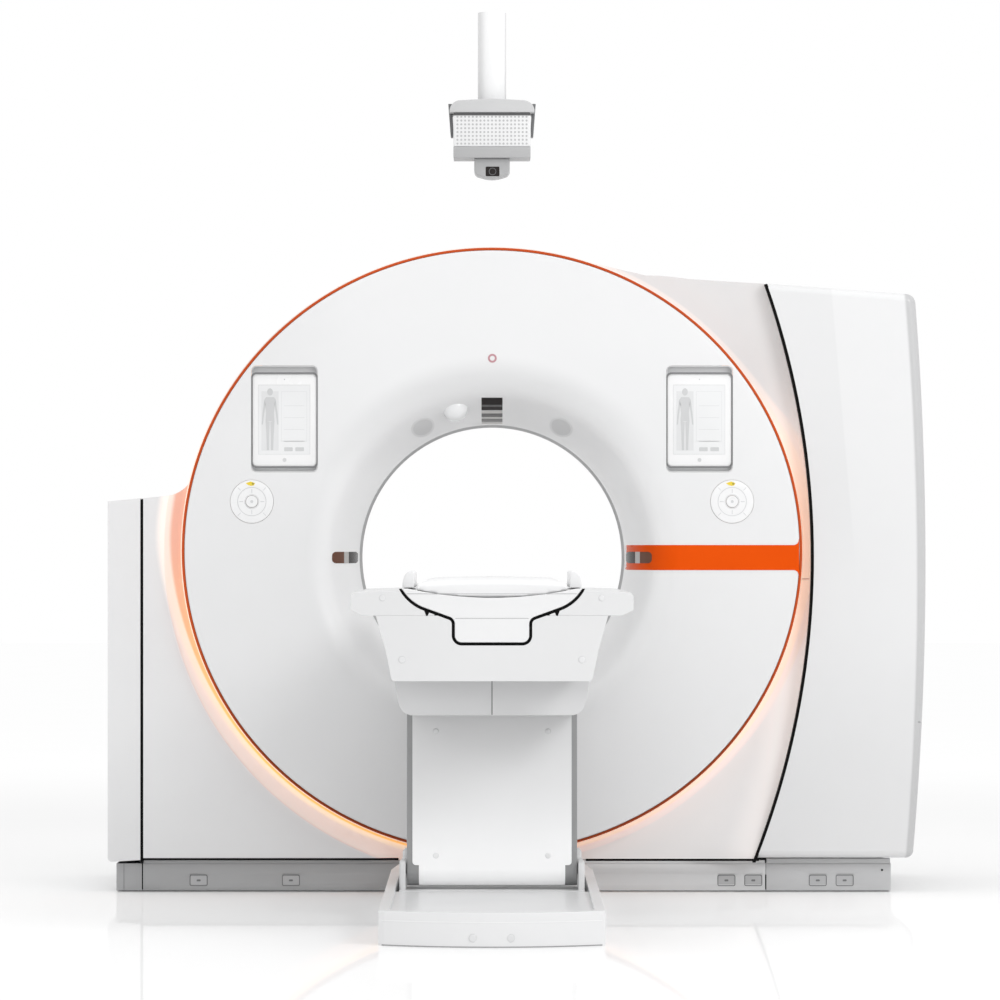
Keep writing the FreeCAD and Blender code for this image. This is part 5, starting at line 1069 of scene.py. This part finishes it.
lift_hood()
flat_detail("hood_joint", rectangle(-0.0014, 0.5835, 0.0014, 0.7005), -1.6904, window_edge,
            "table")
soft_copy("sliding_rails", "slide_rails", 0.0006)
weighted(soft_copy("patient_board", "tabletop", 0.0006))
weighted(soft_copy("patient_board_end", "tabletop_end_cap", 0.0025))
for name, half, low in (("high", 0.222, 0.9280), ("low", 0.0955, 0.8640)):
    flat_detail(f"end_cap_line_{name}", rectangle(-half, low, half, low + 0.0016), BOARD_END - 0.0004,
                named_colour("cap_line", 0.46), "tabletop")

KEEL_HALF, KEEL_LOW, KEEL_ROUND = 0.097, 0.802, 0.018
NECK, NECK_ROUND = 0.850, 0.020
WING_SLOPE, WING_FLAT, WING_ROUND, WING_TOP = 20, 0.070, 0.110, 0.942


def half_channel(gap):
    """The right half of the tabletop's outline at its end cap, from the keel to the wing, set out by a gap."""
    slope = math.radians(WING_SLOPE)
    join_x = KEEL_HALF + NECK_ROUND * (1 - math.sin(slope)) + WING_FLAT * math.cos(slope)
    join_z = NECK + NECK_ROUND * math.cos(slope) + WING_FLAT * math.sin(slope)
    middle_x, middle_z = join_x - WING_ROUND * math.sin(slope), join_z + WING_ROUND * math.cos(slope)
    last = math.degrees(math.asin((WING_TOP - middle_z) / (WING_ROUND + gap)))
    return ([(0.0, KEEL_LOW - gap)]
            + arc(KEEL_HALF - KEEL_ROUND, KEEL_LOW + KEEL_ROUND, KEEL_ROUND + gap, -90, 0)
            + arc(KEEL_HALF + NECK_ROUND, NECK, NECK_ROUND - gap, 180, 90 + WING_SLOPE)
            + arc(middle_x, middle_z, WING_ROUND + gap, WING_SLOPE - 90, last))


# a dark strip in the narrow gap between the tabletop's end cap and the table's body, painted shade standing in
# for the shadow there
outer, inner = [mirrored(half[:0:-1], -1) + half for half in (half_channel(0.0078), half_channel(0.0012))]
dress(prism("channel_shadow_strip", outer + inner[::-1], BOARD_END + 0.0040, BOARD_END + 0.0100), "table", "seam_rubber")
for side, word in SIDES:
    notch = mirrored([(0.1765, 0.8850), (0.1635, 0.8805), (0.1675, 0.8720), (0.1715, 0.8710)], side)
    flat_detail(f"channel_notch_{word}", notch, BOARD_END - 0.0006, "seam_rubber", "table")
for name, far, z, radius in (("shelf", 0.286, 0.9180, 0.0075), ("housing", 0.2345, 0.757, 0.0085)):
    for i, x in enumerate((-far, far)):
        screw_cap(f"{name}_cap_{i}", x, z, radius, BOARD_END + 0.0002, "table")


def cushion():
    """The mattress: a filled cover, blown up a little by a cloth simulation."""
    frames, most = 20, 0.004
    bm = bmesh.new()
    bm.from_mesh(NODES["mattress"].data)
    bmesh.ops.remove_doubles(bm, verts=bm.verts, dist=1e-5)
    bmesh.ops.recalc_face_normals(bm, faces=bm.faces)
    low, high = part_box("mattress")
    middle = (low + high) / 2
    bmesh.ops.transform(bm, verts=bm.verts, matrix=Matrix.Translation(middle)
                        @ Matrix.Diagonal((0.985, 0.998, 0.94, 1)) @ Matrix.Translation(-middle))
    pad = shape_to_object("mattress_pad", bm)
    with_modifier(pad, "REMESH", mode="VOXEL", voxel_size=0.006)
    start = [v.co.copy() for v in pad.data.vertices]
    cloth = pad.modifiers.new("cloth", "CLOTH")
    cloth.settings.use_pressure = True
    cloth.settings.uniform_pressure_force = 4
    cloth.settings.effector_weights.gravity = 0
    cloth.settings.quality = 4
    cloth.settings.mass = 0.3
    cloth.collision_settings.use_collision = False
    cloth.point_cache.frame_start, cloth.point_cache.frame_end = 1, frames
    scene = bpy.context.scene
    for step in range(1, frames + 1):
        scene.frame_set(step)
        bpy.context.view_layer.update()
    graph = bpy.context.evaluated_depsgraph_get()
    blown = bpy.data.meshes.new_from_object(pad.evaluated_get(graph))
    pad.modifiers.clear()
    for vert, before, after in zip(pad.data.vertices, start, blown.vertices):
        move = after.co - before
        vert.co = before + move * min(1.0, most / max(move.length, 1e-9))
    bpy.data.meshes.remove(blown)
    scene.frame_set(1)
    with_modifier(pad, "SUBSURF", levels=1, render_levels=1)
    dress(pad, "tabletop", "mattress_cover", replaced=["mattress"], sharp=60)


cushion()
grip = [(0.2040, 0.9440), (0.2350, 0.9440), (0.2350, 0.9560), (0.2300, 0.9760), (0.2200, 0.9870),
        (0.2090, 0.9880), (0.2040, 0.9840)]
for side, word in SIDES:
    rail = prism(f"board_{word}_grip", mirrored(grip, side), -2.520, -2.060, "Y", 0.0040, 5)
    dress(rail, "tabletop", named_colour("grip_white", 0.84), sharp=40)

# ---- ceiling camera

LENS_X, LENS_Z = 0.0015, 2.1095


def camera_part(name, outline, half_depth, finish, round_edges=0.0, segments=3, pick=None, replaced=()):
    """A piece of the ceiling camera that reaches as far before the pole's axis as behind it."""
    made = prism(name, outline, POLE_Y - half_depth, POLE_Y + half_depth, "Y", round_edges, segments, pick)
    return dress(made, "frame", finish, replaced)


pole = prism("hanging_pole", circle(0, POLE_Y, 0.040, 96), 2.3120, 2.561, "Z", 0.001, 2, rim_of("z"))
dress(pole, "frame", "pole_paint", replaced=["ceiling_pole"])
camera_part("camera_cap", [(-0.1195, 2.274), (0.1195, 2.274)] + arc(0.0885, 2.277, 0.031, 0, 86, 10)
            + [(0.0, 2.3130)] + arc(-0.0885, 2.277, 0.031, 94, 180, 10), 0.078,
            named_colour("bracket_grey", 0.59, 0.35), 0.004, 4, rim_of("y"), ["camera_yoke"])
arm = [(0.1235, 2.302), (0.1130, 2.302), (0.1080, 2.209), (0.1165, 2.209)]
for side, word in SIDES:
    camera_part(f"camera_{word}_arm", mirrored(arm, side), 0.026, named_colour("bracket_dark", 0.16, 0.4),
                0.0015)
# a dark strip between the cap and the case, painted shade standing in for the shadow in the gap
camera_part("camera_shadow_gap", rectangle(-0.107, 2.2655, 0.107, 2.2745), 0.070,
            named_colour("camera_gap_grey", (0.10, 0.10, 0.102)))
camera_part("camera_case", rectangle(-0.1088, 2.1780, 0.1088, 2.2660), 0.072, "camera_white", 0.004, 4,
            replaced=["camera_housing"])


def punched_holes():
    """Rows of small round holes over the front of the camera's case."""
    step = 0.0108
    bm = bmesh.new()
    for row in range(8):
        for column in range(19):
            made = bmesh.ops.create_circle(bm, cap_ends=True, segments=12, radius=0.0030)["verts"]
            place = Matrix.Translation((-0.0972 + step * column, -1.5722, 2.1860 + step * row))
            bmesh.ops.transform(bm, verts=made, matrix=place @ Matrix.Rotation(math.radians(90), 4, "X"))
    bmesh.ops.recalc_face_normals(bm, faces=bm.faces)
    face_front(bm)
    holes = with_modifier(shape_to_object("camera_case_holes", bm), "SOLIDIFY", thickness=0.0004, offset=-1)
    return dress(holes, "frame", named_colour("hole_grey", 0.50))


punched_holes()
camera_part("camera_band", rectangle(-0.1085, 2.1470, 0.1085, 2.1780), 0.0715,
            named_colour("camera_band", 0.45, 0.4), 0.002)
lens_case = prism("camera_lens_case", [(0.050, 2.147), (-0.050, 2.147)] + arc(-0.034, 2.1140, 0.016, 180, 250, 8)
                  + sagged((-0.032, 2.0970), (0.032, 2.0970), 0.090, -1, 8)[1:-1]
                  + arc(0.034, 2.1140, 0.016, -70, 0, 8), POLE_Y - 0.050, POLE_Y + 0.050, "Y", 0.005, 4,
                  rim_of("y"))
pane = rounded_outline(LENS_X, LENS_Z, 0.039, 0.0275, 0.003)
carve(lens_case, prism("cut", pane, -1.6, -1.546))
dress(lens_case, "frame", named_colour("lens_case", 0.44, 0.35))
dress(prism("camera_window", pane, -1.5475, -1.5455), "frame", "dark_window")
ring_strip("camera_lens_ring", LENS_X, LENS_Z, 0.0105, 0.0085, -1.5482,
           named_colour("lens_ring", (0.12, 0.12, 0.125)))

# ---- nodes that keep their own shape

for part in frame["record"]["subparts"]:
    if part["material_slot"] in FINISHES:
        node = NODES[part["node"]]
        node.data.materials.clear()
        node.data.materials.append(FINISHES[part["material_slot"]].material)

# ---- floor


def studio_floor():
    """A wide pale floor with a faint gloss that grows into the white of the air far out."""
    bm = bmesh.new()
    bmesh.ops.create_grid(bm, x_segments=2, y_segments=2, size=40)
    floor = shape_to_object("studio_floor", bm)
    finish = moulded("studio_floor_paint", (0.975, 0.975, 0.975), (0.97, 0.97, 0.97), (0.22, 0.25), 300,
                     0.000002, coat=0.3, specular=0.0)
    finish.feed("Coat Roughness", 0.03)
    away = finish.node("VectorMath", operation="LENGTH")
    finish.give(finish.place(), away.inputs[0])
    finish.feed("Emission Strength", finish.ease(away.outputs["Value"], 3.5, 9.0, 0.0, 0.12))
    finish.feed("Emission Color", (1, 1, 1))
    floor.data.materials.append(finish.material)
    return floor


floor = studio_floor()
